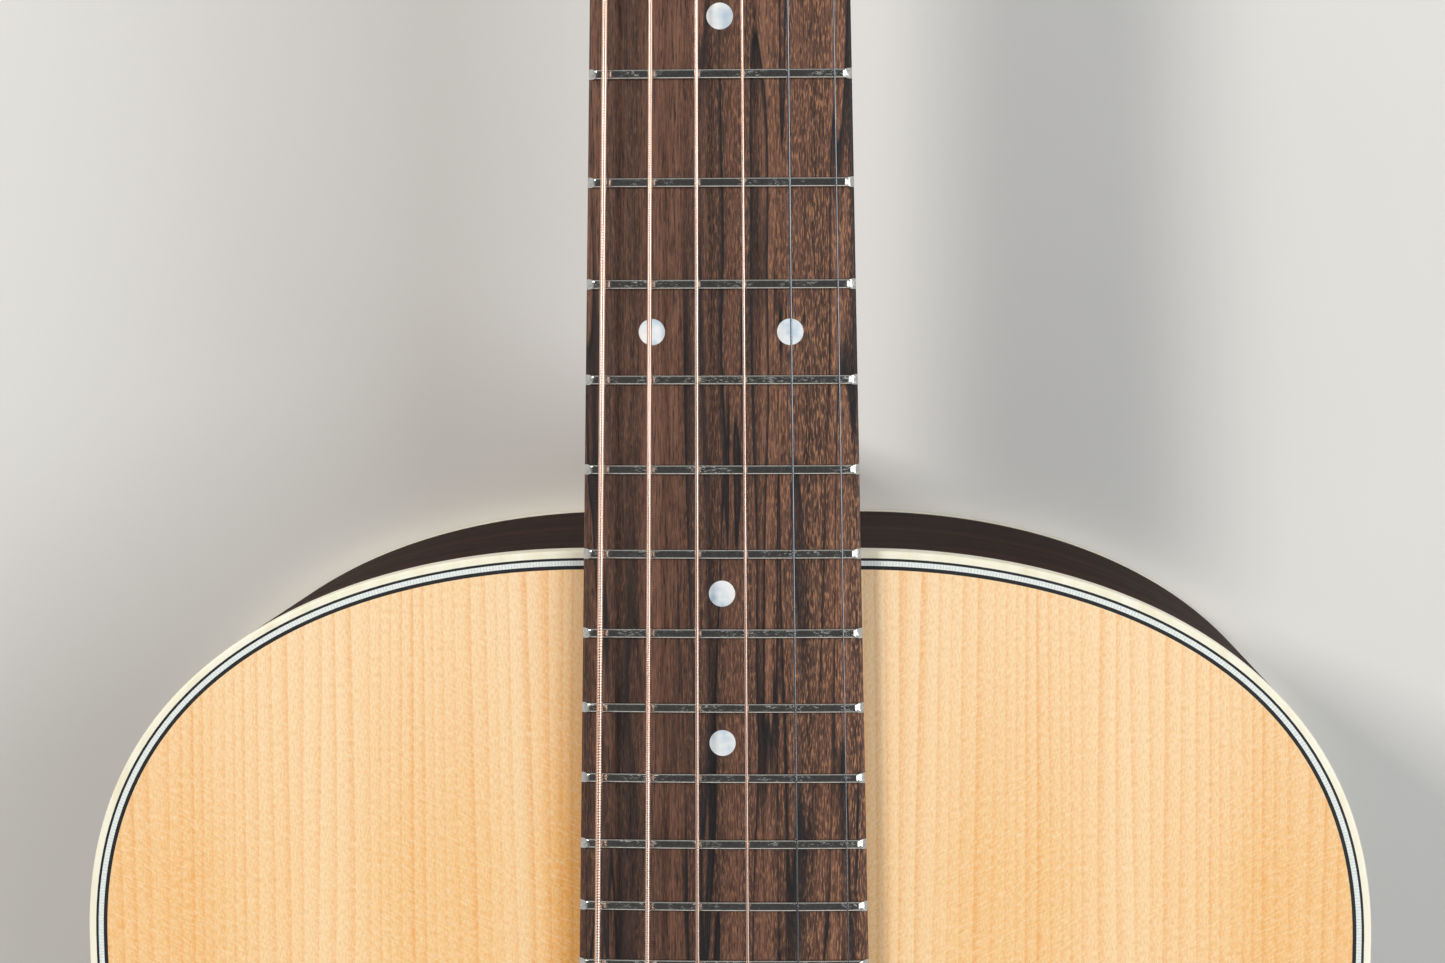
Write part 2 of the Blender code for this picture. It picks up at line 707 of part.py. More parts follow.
def ray_reach(origin, direction, inset):
    """Distance from a point along a direction to the inset outline."""
    loop = body_loop(inset)
    best = 2 * BODY_LENGTH
    for (ax, ay), (bx, by) in zip(loop, loop[1:] + loop[:1]):
        ex, ey = bx - ax, by - ay
        cross = direction[0] * ey - direction[1] * ex
        if abs(cross) < 1e-12:
            continue
        along = ((ax - origin[0]) * ey - (ay - origin[1]) * ex) / cross
        share = ((ax - origin[0]) * direction[1] - (ay - origin[1]) * direction[0]) / cross
        if 0 <= share <= 1 and 0 < along < best:
            best = along
    return best


def x_brace(name, sign, notch_top):
    """One leg of the X-brace, notched where it crosses the other."""
    centre = (0, X_BRACE_CROSSING)
    inset = CHANNEL + LINING_WIDTH + BRACE_WIDTH
    up = (sign * math.sin(X_BRACE_ANGLE), math.cos(X_BRACE_ANGLE))
    down = (-up[0], -up[1])
    ends = []
    for way in (up, down):
        length = ray_reach(centre, way, inset)
        ends.append((centre[0] + way[0] * length, centre[1] + way[1] * length))
    top = -(TOP_THICKNESS + GAP)
    leg = piece(name, brace(name, *ends, BRACE_HEIGHT, top), BRACE_WOOD)
    turn = Matrix.Rotation(sign * X_BRACE_ANGLE, 4, "Z")
    half = BRACE_WIDTH / 2 + GAP
    middle = top - BRACE_HEIGHT / 2
    low, high = (middle - GAP / 2, top + GAP) if notch_top else (top - 2 * BRACE_HEIGHT, middle + GAP / 2)
    tool = boxes(f"{name}_notch", [((-half, -2 * BRACE_WIDTH, low), (half, 2 * BRACE_WIDTH, high))])
    tool.transform(Matrix.Translation((*centre, 0)) @ turn)
    combine(leg, cutter(f"{name}_notch", tool), "DIFFERENCE")


def transverse_brace():
    """Brace across the upper bout, between the neck block and the sound hole."""
    reach = half_width(TRANSVERSE_BRACE_AT, CHANNEL + LINING_WIDTH + 2 * GAP) - 2 * GAP
    y = BODY_EDGE - TRANSVERSE_BRACE_AT
    top = -(TOP_THICKNESS + GAP)
    mesh = brace("transverse_brace", (-reach, y), (reach, y), BRACE_HEIGHT, top, TRANSVERSE_BRACE_WIDTH)
    piece("transverse_brace", mesh, BRACE_WOOD)


def bridge_plate(holes):
    """Hardwood plate under the soundboard, which the strings' balls pull against."""
    front, rear = PIN_Y + BRIDGE_PLATE_LENGTH / 2, PIN_Y - BRIDGE_PLATE_LENGTH / 2
    limit = (X_BRACE_CROSSING - front) * math.tan(X_BRACE_ANGLE) - BRACE_WIDTH
    half = min(BRIDGE_PLATE_WIDTH / 2, limit)
    loop = [(-half, front), (half, front), (BRIDGE_PLATE_WIDTH / 2, rear), (-BRIDGE_PLATE_WIDTH / 2, rear)]
    top = -(TOP_THICKNESS + GAP)
    made = piece("bridge_plate", flat_solid("bridge_plate", [loop], top - BRIDGE_PLATE_THICKNESS, top), MAHOGANY)
    combine(made, holes, "DIFFERENCE")


# Bridge, saddle, pins, end pin and pickguard

def bridge(holes):
    """Belly bridge: a thick middle with the saddle and pins, and thin wings."""
    block, end = BRIDGE_BLOCK_LENGTH / 2, BRIDGE_LENGTH / 2
    right_half = (
        (block / 2, BRIDGE_HEIGHT, 0.82, 0), (block, BRIDGE_HEIGHT, 0.35, 0),
        (mix(block, end, 0.35), BRIDGE_WING_HEIGHT, 0.05, 0), (end - BRIDGE_END_LENGTH, BRIDGE_WING_HEIGHT, 0, 0),
        (end, BRIDGE_WING_HEIGHT, 0, BRIDGE_END_TAPER),
    )
    left_half = [(-x, tall, belly, draw) for x, tall, belly, draw in reversed(right_half)]
    sections = []
    for x, tall, belly, draw in (*left_half, (0, BRIDGE_HEIGHT, 1, 0), *right_half):
        front = SADDLE_Y + BRIDGE_FRONT - draw
        rear = SADDLE_Y - BRIDGE_BACK - BRIDGE_BELLY * belly + draw
        top = GAP + tall
        ring = (
            (front, GAP), (front, top - BRIDGE_CHAMFER), (front - BRIDGE_CHAMFER, top),
            (rear + BRIDGE_CHAMFER, top), (rear, top - BRIDGE_CHAMFER), (rear, GAP),
        )
        sections.append([(x, y, z) for y, z in ring])
    made = piece("bridge", loft("bridge", sections), DARK_WOOD)
    length, thick = SADDLE_LENGTH / 2 + GAP, SADDLE_THICKNESS / 2 + GAP
    floor = BRIDGE_TOP - SADDLE_SLOT_DEPTH
    slot = boxes("saddle_slot", [((-length, -thick, floor), (length, thick, 2 * BRIDGE_TOP))])
    slot.transform(saddle_place())
    combine(made, cutter("saddle_slot", slot), "DIFFERENCE")
    combine(made, holes, "DIFFERENCE")


def saddle_place():
    """Where the saddle lies: turned, so that the thick strings are the longest."""
    return Matrix.Translation((0, SADDLE_Y, 0)) @ Matrix.Rotation(math.atan(SADDLE_SLANT), 4, "Z")


def fret_top(x):
    """Top of the frets at a place across the board."""
    return BOARD_TOP + FRET_CROWN_HEIGHT - x * x / (2 * FRETBOARD_RADIUS)


def string_bottom(x, y):
    """Height of a string's underside, from its lift over the frets at the nut and the twelfth fret."""
    share = -y / (SCALE_LENGTH / 2)
    return fret_top(x) + mix(STRING_LIFT_AT_NUT, STRING_LIFT_AT_TWELFTH, share)


def saddle():
    """Bone saddle, its top curved like the fretboard."""
    half = SADDLE_LENGTH / 2
    foot = BRIDGE_TOP - SADDLE_SLOT_DEPTH + GAP
    ends = [(-half, foot), (half, foot)]
    spots = [half * (1 - k / 4) for k in range(9)]
    crest = [(x, string_bottom(x, SADDLE_Y) - GAP) for x in spots]
    mesh = flat_solid("saddle", [ends + crest], -SADDLE_THICKNESS / 2, SADDLE_THICKNESS / 2)
    mesh.transform(Matrix.Rotation(math.radians(90), 4, "X"))
    mesh.transform(saddle_place())
    piece("saddle", mesh, BONE)


def bridge_pins():
    """Six tapered pins with round heads, each holding a string in its slot."""
    seat = GAP
    head = PIN_HEAD_RADIUS
    profile = (
        (0, seat + 1.2 * head), (0.6 * head, seat + 1.05 * head), (head, seat + 0.55 * head),
        (0.8 * head, seat), (PIN_RADIUS, seat), (PIN_TIP_RADIUS, -PIN_LENGTH), (0, -PIN_LENGTH),
    )
    for number, x in enumerate(pin_places(), 1):
        pin = turned(f"bridge_pin_{number}", profile, BONE, GUITAR_FRAME, 8)
        pin.location = (x, PIN_Y - PIN_SET_BACK, BRIDGE_TOP)


def end_pin_height():
    """Height of the end pin, half way down the tail."""
    return -DEPTH_AT_TAIL / 2


def end_pin_hole():
    """Cutter for the end pin's hole through the sides and the tail block."""
    tail = BODY_EDGE - BODY_LENGTH
    ends = ((0, tail - TAIL_BLOCK_LENGTH, end_pin_height()), (0, tail + 2 * TAIL_BLOCK_LENGTH, end_pin_height()))
    return cutter("end_pin_hole", cylinders("end_pin_hole", END_PIN_RADIUS + 2 * GAP, [ends]))


def end_pin():
    """Turned pin at the tail, for a strap."""
    head, neck = END_PIN_HEAD_RADIUS, 1.1 * END_PIN_RADIUS
    profile = (
        (0, END_PIN_PROUD), (0.7 * head, 0.97 * END_PIN_PROUD), (head, 0.8 * END_PIN_PROUD),
        (neck, 0.5 * END_PIN_PROUD), (1.2 * neck, 0.2 * END_PIN_PROUD), (head, GAP), (END_PIN_RADIUS, GAP),
        (0.8 * END_PIN_RADIUS, -TAIL_BLOCK_LENGTH), (0, -TAIL_BLOCK_LENGTH),
    )
    made = turned("end_pin", profile, DARK_WOOD, GUITAR_FRAME)
    made.location = (0, BODY_EDGE - BODY_LENGTH, end_pin_height())
    made.rotation_euler.x = math.radians(90)


def pickguard():
    """Thin teardrop guard beside the sound hole, on the treble side."""
    inner = SOUND_HOLE_RADIUS + PICKGUARD_MARGIN
    centre_y = BODY_EDGE - SOUND_HOLE_AT
    start, stop = (math.radians(angle) for angle in PICKGUARD_ARC)
    loop = arc((0, centre_y), inner, start, stop, 12)
    top, low = loop[0], loop[-1]
    foot_y = SADDLE_Y + BRIDGE_FRONT + PICKGUARD_BEFORE_BRIDGE
    outer = (inner + PICKGUARD_WIDTH * 0.72, mix(centre_y, foot_y, 0.67))
    foot = (inner * 0.75 + PICKGUARD_WIDTH * 0.3, foot_y)
    short, wide = PICKGUARD_SHORT_BEND, PICKGUARD_FOOT_BEND
    after_low, before_foot = (low[0], low[1] - short), (foot[0] - wide, foot[1])
    after_foot, before_outer = (foot[0] + wide, foot[1]), (outer[0], outer[1] - short)
    after_outer, before_top = (outer[0], outer[1] + PICKGUARD_LONG_BEND), (top[0] + short, top[1] - short)
    loop += [p[:2] for p in cubic(low, after_low, before_foot, foot, 4)][1:]
    loop += [p[:2] for p in cubic(foot, after_foot, before_outer, outer, 5)]
    loop += [p[:2] for p in cubic(outer, after_outer, before_top, top, 6)]
    piece("pickguard", flat_solid("pickguard", [loop], GAP, GAP + PICKGUARD_THICKNESS), TORTOISE)


# Neck

def board_width(y):
    """Width of the fretboard at a place along it."""
    return mix(NUT_WIDTH, TWELFTH_FRET_WIDTH, max(0, -y) / (SCALE_LENGTH / 2))


def fret_y(number):
    """Place of a fret along the neck."""
    return -SCALE_LENGTH * (1 - 2 ** (-number / 12))


def neck_depth(y):
    """Depth of the neck's wood below the fretboard."""
    return mix(NECK_DEPTH_AT_NUT, NECK_DEPTH_AT_HEEL, -y / -HEEL_FACE)


def neck_ring(half, depth, squareness, place):
    """Section of the neck: flat on top, from a round D below to a rectangle."""
    top = [Vector((half * k / 2, 0, 0)) for k in range(-2, 3)]
    square = ((1, -0.5), (1, -1), (0.5, -1), (0, -1), (-0.5, -1), (-1, -1), (-1, -0.5))
    under = []
    for k, (sx, sz) in enumerate(square, 1):
        angle = math.pi * k / 8
        x = mix(math.cos(angle), sx, squareness) * half
        z = mix(-math.sin(angle), sz, squareness) * depth
        under.append(Vector((x, 0, z)))
    return [place @ point for point in top + under]


def headstock_half(y):
    """Half width of the headstock at a distance up its face."""
    if y < HEADSTOCK_FLARE:
        share = 0.5 - 0.5 * math.cos(math.pi * max(0, y) / HEADSTOCK_FLARE)
        return mix(NUT_WIDTH, HEADSTOCK_WIDTH_LOW, share) / 2
    share = (y - HEADSTOCK_FLARE) / (HEADSTOCK_LENGTH - HEADSTOCK_FLARE)
    return mix(HEADSTOCK_WIDTH_LOW, HEADSTOCK_WIDTH_TIP, share) / 2


def neck_sections():
    """Sections from the body to the tip of the headstock."""
    sections = []
    for y in (HEEL_FACE + GAP, fret_y(12), fret_y(7), fret_y(3), -NUT_LENGTH):
        place = Matrix.Translation((0, y, 0))
        sections.append(neck_ring(board_width(y) / 2, neck_depth(y), 0, place))
    for share, squareness in ((0.0, 0.15), (0.3, 0.55), (0.6, 0.85), (1.0, 1.0)):
        y = share * HEADSTOCK_FLARE
        place = HEAD @ Matrix.Translation((0, y, 0))
        sections.append(neck_ring(headstock_half(y), HEADSTOCK_THICKNESS, squareness, place))
    tip = neck_ring(headstock_half(HEADSTOCK_LENGTH), HEADSTOCK_THICKNESS, 1, Matrix())
    for point in tip:
        share = point.x / headstock_half(HEADSTOCK_LENGTH)
        point.y = HEADSTOCK_LENGTH - HEADSTOCK_CROWN * share * share
    sections.append([HEAD @ point for point in tip])
    return sections


def heel_cap_low():
    """Height of the heel cap's outer face, just clear of the plane that the back lies on."""
    return back_z(0, -HEEL_CAP_LENGTH) + GAP


def heel_bottom():
    """Height of the heel's end, where the cap sits."""
    return heel_cap_low() + HEEL_CAP_THICKNESS + GAP


def heel_outline(share):
    """Plan of the heel at a share of its height: flat to the body, round in front."""
    half = mix(board_width(HEEL_FACE) / 2 - 4 * GAP, HEEL_CAP_WIDTH / 2, share**0.8)
    length = mix(HEEL_LENGTH, HEEL_CAP_LENGTH, 1 - (1 - share) ** 5)
    angles = [math.pi * k / 8 for k in range(9)]
    return [(half * math.cos(a), HEEL_FACE + length * math.sin(a) ** 0.9) for a in angles]


def heel():
    """Heel that the neck ends in, lofted downwards to its cap."""
    top, bottom = -NECK_DEPTH_AT_HEEL / 4, heel_bottom()
    sections = []
    for share in (0, 0.09, 0.18, 0.28, 0.42, 0.6, 0.8, 1):
        z = mix(top, bottom, share)
        sections.append([(x, y, z) for x, y in heel_outline(share)])
    return cutter("heel", loft("heel", sections))


def tenon(name, clearance, top):
    """Dovetail that flares into the neck block."""
    near = TENON_WIDTH / 2 + clearance
    far = near + TENON_FLARE
    face = HEEL_FACE + TENON_LENGTH / 4
    rear = HEEL_FACE - TENON_LENGTH - clearance
    low = -(TENON_TOP + TENON_HEIGHT + clearance)
    loop = [(-near, face), (near, face), (near, HEEL_FACE), (far, rear), (-far, rear), (-near, HEEL_FACE)]
    return cutter(name, flat_solid(name, [loop], low, top))


def rod_channel():
    """Cutter for the truss rod's channel along the top of the neck."""
    half = ROD_WIDTH / 2 + GAP
    corners = ((-half, HEEL_FACE - GAP, -(ROD_DEPTH + 3 * GAP)), (half, -NUT_LENGTH + GAP, ROD_DEPTH))
    return cutter("rod_channel", boxes("rod_channel", [corners]))


def rod_bore():
    """Cutter for the truss rod's tip where it passes through the neck block."""
    end = BODY_EDGE - neck_block_end() - NECK_BLOCK_LENGTH
    ends = ((0, HEEL_FACE, -ROD_AXIS_DEPTH), (0, end, -ROD_AXIS_DEPTH))
    return cutter("rod_bore", cylinders("rod_bore", ROD_TIP_RADIUS + 2 * GAP, [ends], 8))


def tuner_spots():
    """(string number, side, x, y) of each post on the headstock's face."""
    spots = []
    for k in range(3):
        y = POST_FIRST + k * POST_SPACING
        spots.append((6 - k, -1, -POST_X, y))
        spots.append((k + 1, 1, POST_X, y))
    return sorted(spots)


def neck():
    """Neck in one piece: shaft, headstock, heel and dovetail."""
    made = piece("neck", loft("neck", neck_sections()), MAHOGANY)
    combine(made, heel(), "UNION")
    combine(made, tenon("tenon", 0, -TENON_TOP), "UNION")
    combine(made, rod_channel(), "DIFFERENCE")
    back_face = -(HEADSTOCK_THICKNESS + PLATE_THICKNESS)
    through = [((x, y, back_face), (x, y, PLATE_THICKNESS)) for _, _, x, y in tuner_spots()]
    seats = [((x, y, -BUSHING_DEPTH - GAP), (x, y, PLATE_THICKNESS)) for _, _, x, y in tuner_spots()]
    bores = cylinders("post_bores", POST_RADIUS + 3 * GAP, through, 12)
    combine(made, cutter("post_bores", bores, HEADSTOCK_FRAME), "DIFFERENCE")
    recesses = cylinders("bushing_seats", BUSHING_RADIUS + GAP, seats, 12)
    combine(made, cutter("bushing_seats", recesses, HEADSTOCK_FRAME), "DIFFERENCE")


def heel_cap():
    """Plate that ends the heel."""
    low = heel_cap_low()
    mesh = flat_solid("heel_cap", [heel_outline(1)], low, low + HEEL_CAP_THICKNESS)
    piece("heel_cap", mesh, IVORY)


def board_ring(y, lift):
    """Section of the fretboard, its top curved across."""
    half = board_width(y) / 2
    ring = []
    for k in range(-2, 3):
        x = half * k / 2
        ring.append((x, y, BOARD_TOP - x * x / (2 * FRETBOARD_RADIUS) + lift))
    return ring + [(half, y, GAP), (-half, y, GAP)]


def fretboard():
    """Fretboard with its frets pressed in, each a low crown across the board."""
    outer, inner = FRET_CROWN_WIDTH / 2, FRET_CROWN_WIDTH / 5
    stations = [(0, 0)]
    for number in range(1, FRET_COUNT + 1):
        y = fret_y(number)
        stations += [(y + outer, 0), (y + inner, FRET_CROWN_HEIGHT)]
        stations += [(y - inner, FRET_CROWN_HEIGHT), (y - outer, 0)]
    stations.append((fret_y(FRET_COUNT) - FRETBOARD_TAIL, 0))
    mesh = loft("fretboard", [board_ring(y, lift) for y, lift in stations])
    piece("fretboard", mesh, DARK_WOOD)
    mesh.materials.append(NICKEL)
    for face in mesh.polygons:
        x, _, z = face.center
        if z > BOARD_TOP - x * x / (2 * FRETBOARD_RADIUS) + FRET_CROWN_HEIGHT / 4:
            face.material_index = 1


def nut_place(number):
    """x of a string at the nut."""
    half = STRING_SPREAD_AT_NUT / 2
    return half - 2 * half * (number - 1) / 5


def nut():
    """Bone nut with a slot for each string."""
    half = NUT_WIDTH / 2
    sections = []
    for y, drop in ((GAP, 0), (GAP + NUT_LENGTH, STRING_GAUGES[-1])):
        ring = []
        for k in range(-2, 3):
            x = half * k / 2
            ring.append((x, y, string_bottom(x, 0) + STRING_GAUGES[-1] / 2 - drop))
        sections.append(ring + [(half, y, GAP), (-half, y, GAP)])
    made = piece("nut", loft("nut", sections), BONE)
    corners = []
    for number, gauge in enumerate(STRING_GAUGES, 1):
        x = nut_place(number)
        wide = gauge / 2 + GAP
        low = string_bottom(x, 0) - GAP - STRING_GAUGES[-1] * 0.6
        corners.append(((x - wide, -NUT_LENGTH, low), (x + wide, 3 * NUT_LENGTH, 2 * BOARD_TOP)))
    combine(made, cutter("nut_slots", boxes("nut_slots", corners)), "DIFFERENCE")


def truss_rod():
    """Rod under the fretboard, with a round threaded tip that comes out of the neck block."""
    half = ROD_WIDTH / 2
    low = -(ROD_DEPTH + GAP)
    bar_end = HEEL_FACE + 4 * ROD_WIDTH
    tip_end = BODY_EDGE - neck_block_end() - ROD_NUT_LENGTH * 0.7
    middle = (low - 2 * GAP) / 2
    bar = [(-half, -2 * GAP), (0, -2 * GAP), (half, -2 * GAP), (half, middle), (half, low), (0, low), (-half, low),
           (-half, middle)]
    turns = [math.radians(135 - 45 * k) for k in range(8)]
    tip = [(ROD_TIP_RADIUS * math.cos(a), ROD_TIP_RADIUS * math.sin(a) - ROD_AXIS_DEPTH) for a in turns]
    start = -(NUT_LENGTH + 2 * GAP)
    rings = [(start, bar), (bar_end, bar), (bar_end - ROD_TIP_RADIUS, tip), (tip_end, tip)]
    mesh = loft("truss_rod", [[(x, y, z) for x, z in ring] for y, ring in rings])
    piece("truss_rod", mesh, STEEL)


def truss_rod_nut():
    """Six-sided adjusting nut inside the sound hole."""
    profile = (
        (ROD_NUT_RADIUS, ROD_NUT_LENGTH), (ROD_NUT_RADIUS, 0), (ROD_NUT_BORE, 0), (ROD_NUT_BORE, ROD_NUT_LENGTH),
    )
    made = turned("truss_rod_nut", profile, BRASS, GUITAR_FRAME, 6, ring=True)
    made.location = (0, BODY_EDGE - neck_block_end() - GAP, -ROD_AXIS_DEPTH)
    made.rotation_euler.x = math.radians(90)


# Tuners, in the headstock's frame

def bushings():
    """Turned ferrule round each post on the headstock's face."""
    bore = POST_RADIUS + GAP
    profile = (
        (bore, BUSHING_FLANGE_HEIGHT + GAP), (BUSHING_FLANGE_RADIUS * 0.85, BUSHING_FLANGE_HEIGHT + GAP),
        (BUSHING_FLANGE_RADIUS, GAP), (BUSHING_RADIUS, GAP), (BUSHING_RADIUS, -BUSHING_DEPTH), (bore, -BUSHING_DEPTH),
    )
    for number, _, x, y in tuner_spots():
        made = turned(f"post_bushing_{number}", profile, NICKEL, HEADSTOCK_FRAME, 12, ring=True)
        made.location = (x, y, 0)


def wheel_seat():
    """Height of the worm wheel's upper face."""
    return -KEY_DEPTH + WHEEL_WIDTH / 2


def string_posts():
    """Posts that the strings wind on, waisted, with a string hole and a spigot for the wheel."""
    waist = POST_RADIUS * 0.86
    spigot = POST_RADIUS * 0.6
    seat = wheel_seat() + GAP
    foot = -KEY_DEPTH - WHEEL_WIDTH / 2
    profile = (
        (0, POST_HEIGHT), (POST_RADIUS * 0.8, POST_HEIGHT), (POST_RADIUS, POST_HEIGHT * 0.94),
        (waist, POST_HEIGHT * 0.7), (waist, POST_HEIGHT * 0.4), (POST_RADIUS, POST_HEIGHT * 0.25),
        (POST_RADIUS, seat), (spigot, seat), (spigot, foot), (0, foot),
    )
    for number, _, x, y in tuner_spots():
        post = turned(f"string_post_{number}", profile, NICKEL, HEADSTOCK_FRAME)
        post.location = (x, y, 0)
        ends = ((x, y - POST_RADIUS * 2, POST_HEIGHT * 0.8), (x, y + POST_RADIUS * 2, POST_HEIGHT * 0.8))
        hole = cylinders(f"string_hole_{number}", POST_HOLE_RADIUS, [ends], 6)
        combine(post, cutter(f"string_hole_{number}", hole, HEADSTOCK_FRAME), "DIFFERENCE")


def wheel_outline(turn):
    """Worm wheel's toothed outline, one tooth pointing at the worm on its -Y side."""
    outer = WHEEL_PITCH_RADIUS + TOOTH_HALF_HEIGHT
    root = WHEEL_PITCH_RADIUS - TOOTH_HALF_HEIGHT - MESH_CLEARANCE
    tip_half, root_half = 0.11, 0.25
    points = []
    for tooth in range(WHEEL_TEETH):
        for share, radius in ((-root_half, root), (-tip_half, outer), (tip_half, outer), (root_half, root)):
            angle = 2 * math.pi * (tooth + share) / WHEEL_TEETH - math.pi / 2 + turn
            points.append((radius * math.cos(angle), radius * math.sin(angle)))
    return points


def worm_wheels():
    """Wheels on the posts, with teeth slanted to the worm's thread."""
    lead = WORM_PITCH / (2 * math.pi * WORM_PITCH_RADIUS)
    slant = lead * WHEEL_WIDTH / 2 / WHEEL_PITCH_RADIUS
    sections = []
    for side in (-1, 1):
        sections.append([(x, y, side * WHEEL_WIDTH / 2) for x, y in wheel_outline(side * slant)])
    mesh = loft("worm_wheel", sections)
    bore = cylinders("wheel_bore", POST_RADIUS * 0.6 + GAP, [((0, 0, -WHEEL_WIDTH), (0, 0, WHEEL_WIDTH))])
    for number, _, x, y in tuner_spots():
        wheel = piece(f"worm_wheel_{number}", mesh, BRASS, HEADSTOCK_FRAME)
        wheel.location = (x, y, -KEY_DEPTH)
        tool = cutter(f"wheel_bore_{number}", bore, HEADSTOCK_FRAME)
        tool.location = wheel.location
        combine(wheel, tool, "DIFFERENCE")


def worm_radius(x, angle):
    """Radius of the worm at a place along it: thread crests half a pitch from the wheel's middle."""
    phase = x / WORM_PITCH - angle / (2 * math.pi)
    from_crest = abs((phase % 1) - 0.5)
    crest_half, root_half = 0.09, 0.21
    share = (from_crest - crest_half) / (root_half - crest_half)
    return mix(WORM_OUTER, WORM_ROOT, min(1, max(0, share)))


def key_mesh():
    """Key along +X: journal, worm between the ears, shaft and cast button, in one loft."""
    angles = [2 * math.pi * k / ROUND_STEPS for k in range(ROUND_STEPS)]
    half = WORM_LENGTH / 2
    ear = half + 2 * GAP
    stub = ear + EAR_THICKNESS + 2 * GAP
    reach = headstock_half(POST_FIRST + 2 * POST_SPACING) - POST_X + KEY_REACH

    def oval(x, wide, thick):
        return [(x, wide * math.cos(a), thick * math.sin(a)) for a in angles]

    rings = [oval(-stub, KEY_SHAFT_RADIUS, KEY_SHAFT_RADIUS), oval(-half - GAP, KEY_SHAFT_RADIUS, KEY_SHAFT_RADIUS)]
    rows = WORM_TURNS * WORM_ROWS
    for row in range(rows + 1):
        x = -half + WORM_LENGTH * row / rows
        ends = row in (0, rows)
        radii = [WORM_ROOT if ends else worm_radius(x, a) for a in angles]
        rings.append([(x, r * math.cos(a), r * math.sin(a)) for r, a in zip(radii, angles)])
    rings.append(oval(half + GAP, KEY_SHAFT_RADIUS, KEY_SHAFT_RADIUS))
    rings.append(oval(reach - BUTTON_THICKNESS / 2, KEY_SHAFT_RADIUS, KEY_SHAFT_RADIUS))
    rings.append(oval(reach - BUTTON_THICKNESS / 4, 1.6 * KEY_SHAFT_RADIUS, 1.5 * KEY_SHAFT_RADIUS))
    for share, wide, thick in (
        (0, 0.30, 0.55), (0.12, 0.68, 0.85), (0.35, 0.97, 1), (0.65, 0.97, 1), (0.88, 0.70, 0.8), (1, 0.30, 0.3),
    ):
        rings.append(oval(reach + share * BUTTON_LENGTH, wide * BUTTON_WIDTH / 2, thick * BUTTON_THICKNESS / 2))
    return loft("tuner_key", rings)


def tuner_keys():
    """Six keys; those on the bass side are turned end for end about Y."""
    mesh = key_mesh()
    for number, side, x, y in tuner_spots():
        key = piece(f"tuner_key_{number}", mesh, NICKEL, HEADSTOCK_FRAME)
        key.location = (x, y - DRIVE_DISTANCE, -KEY_DEPTH)
        key.rotation_euler.y = 0 if side > 0 else math.pi


def tuner_plate(name, side):
    """Plate that carries three tuners, with two bent ears for each key."""
    spots = [(x, y) for _, own, x, y in tuner_spots() if own == side]
    x = spots[0][0]
    half = PLATE_WIDTH / 2
    low = POST_FIRST - DRIVE_DISTANCE - PLATE_END + half
    high = POST_FIRST + 2 * POST_SPACING + PLATE_END - half
    outline = arc((x, high), half, 0, math.pi, 6) + arc((x, low), half, math.pi, 2 * math.pi, 6)
    holes = [circle(spot, POST_RADIUS + GAP, ROUND_STEPS) for spot in spots]
    top = -(HEADSTOCK_THICKNESS + GAP)
    plate = piece(name, flat_solid(name, [outline] + holes, top - PLATE_THICKNESS, top), NICKEL, HEADSTOCK_FRAME)
    ears, bores = [], []
    near = WORM_LENGTH / 2 + 3 * GAP
    for _, y in spots:
        axis = y - DRIVE_DISTANCE
        low_z = -KEY_DEPTH - WORM_OUTER
        for way in (-1, 1):
            faces = sorted((x + way * near, x + way * (near + EAR_THICKNESS)))
            ears.append(((faces[0], axis - EAR_WIDTH / 2, low_z), (faces[1], axis + EAR_WIDTH / 2, top - GAP)))
        bores.append(((x - 2 * near, axis, -KEY_DEPTH), (x + 2 * near, axis, -KEY_DEPTH)))
    combine(plate, cutter(f"{name}_ears", boxes(f"{name}_ears", ears), HEADSTOCK_FRAME), "UNION")
    shafts = cylinders(f"{name}_bores", SHAFT_HOLE_RADIUS, bores)
    combine(plate, cutter(f"{name}_bores", shafts, HEADSTOCK_FRAME), "DIFFERENCE")


# Strings

def winding(number, side, x, y, start):
    """Turns of one string round its post, in the headstock's frame, from where the string meets it."""
    gauge = STRING_GAUGES[number - 1]
    radius = POST_RADIUS + WINDING_CLEARANCE + gauge / 2
    pitch = gauge + WINDING_SPACE
    to_post = Vector((x - start.x, y - start.y))
    lean = math.asin(radius / to_post.length)
    heading = math.atan2(to_post.y, to_post.x) + side * lean
    first = heading + side * math.pi / 2
    steps = int(WINDING_TURNS * WINDING_STEPS)
    points = []
    for k in range(steps + 1):
        turn = 2 * math.pi * k / WINDING_STEPS
        angle = first - side * turn
        height = WINDING_BOTTOM + pitch * k / WINDING_STEPS
        points.append(Vector((x + radius * math.cos(angle), y + radius * math.sin(angle), height)))
    tail = points[-1] + (points[-1] - points[-2]).normalized() * gauge
    return points + [tail]


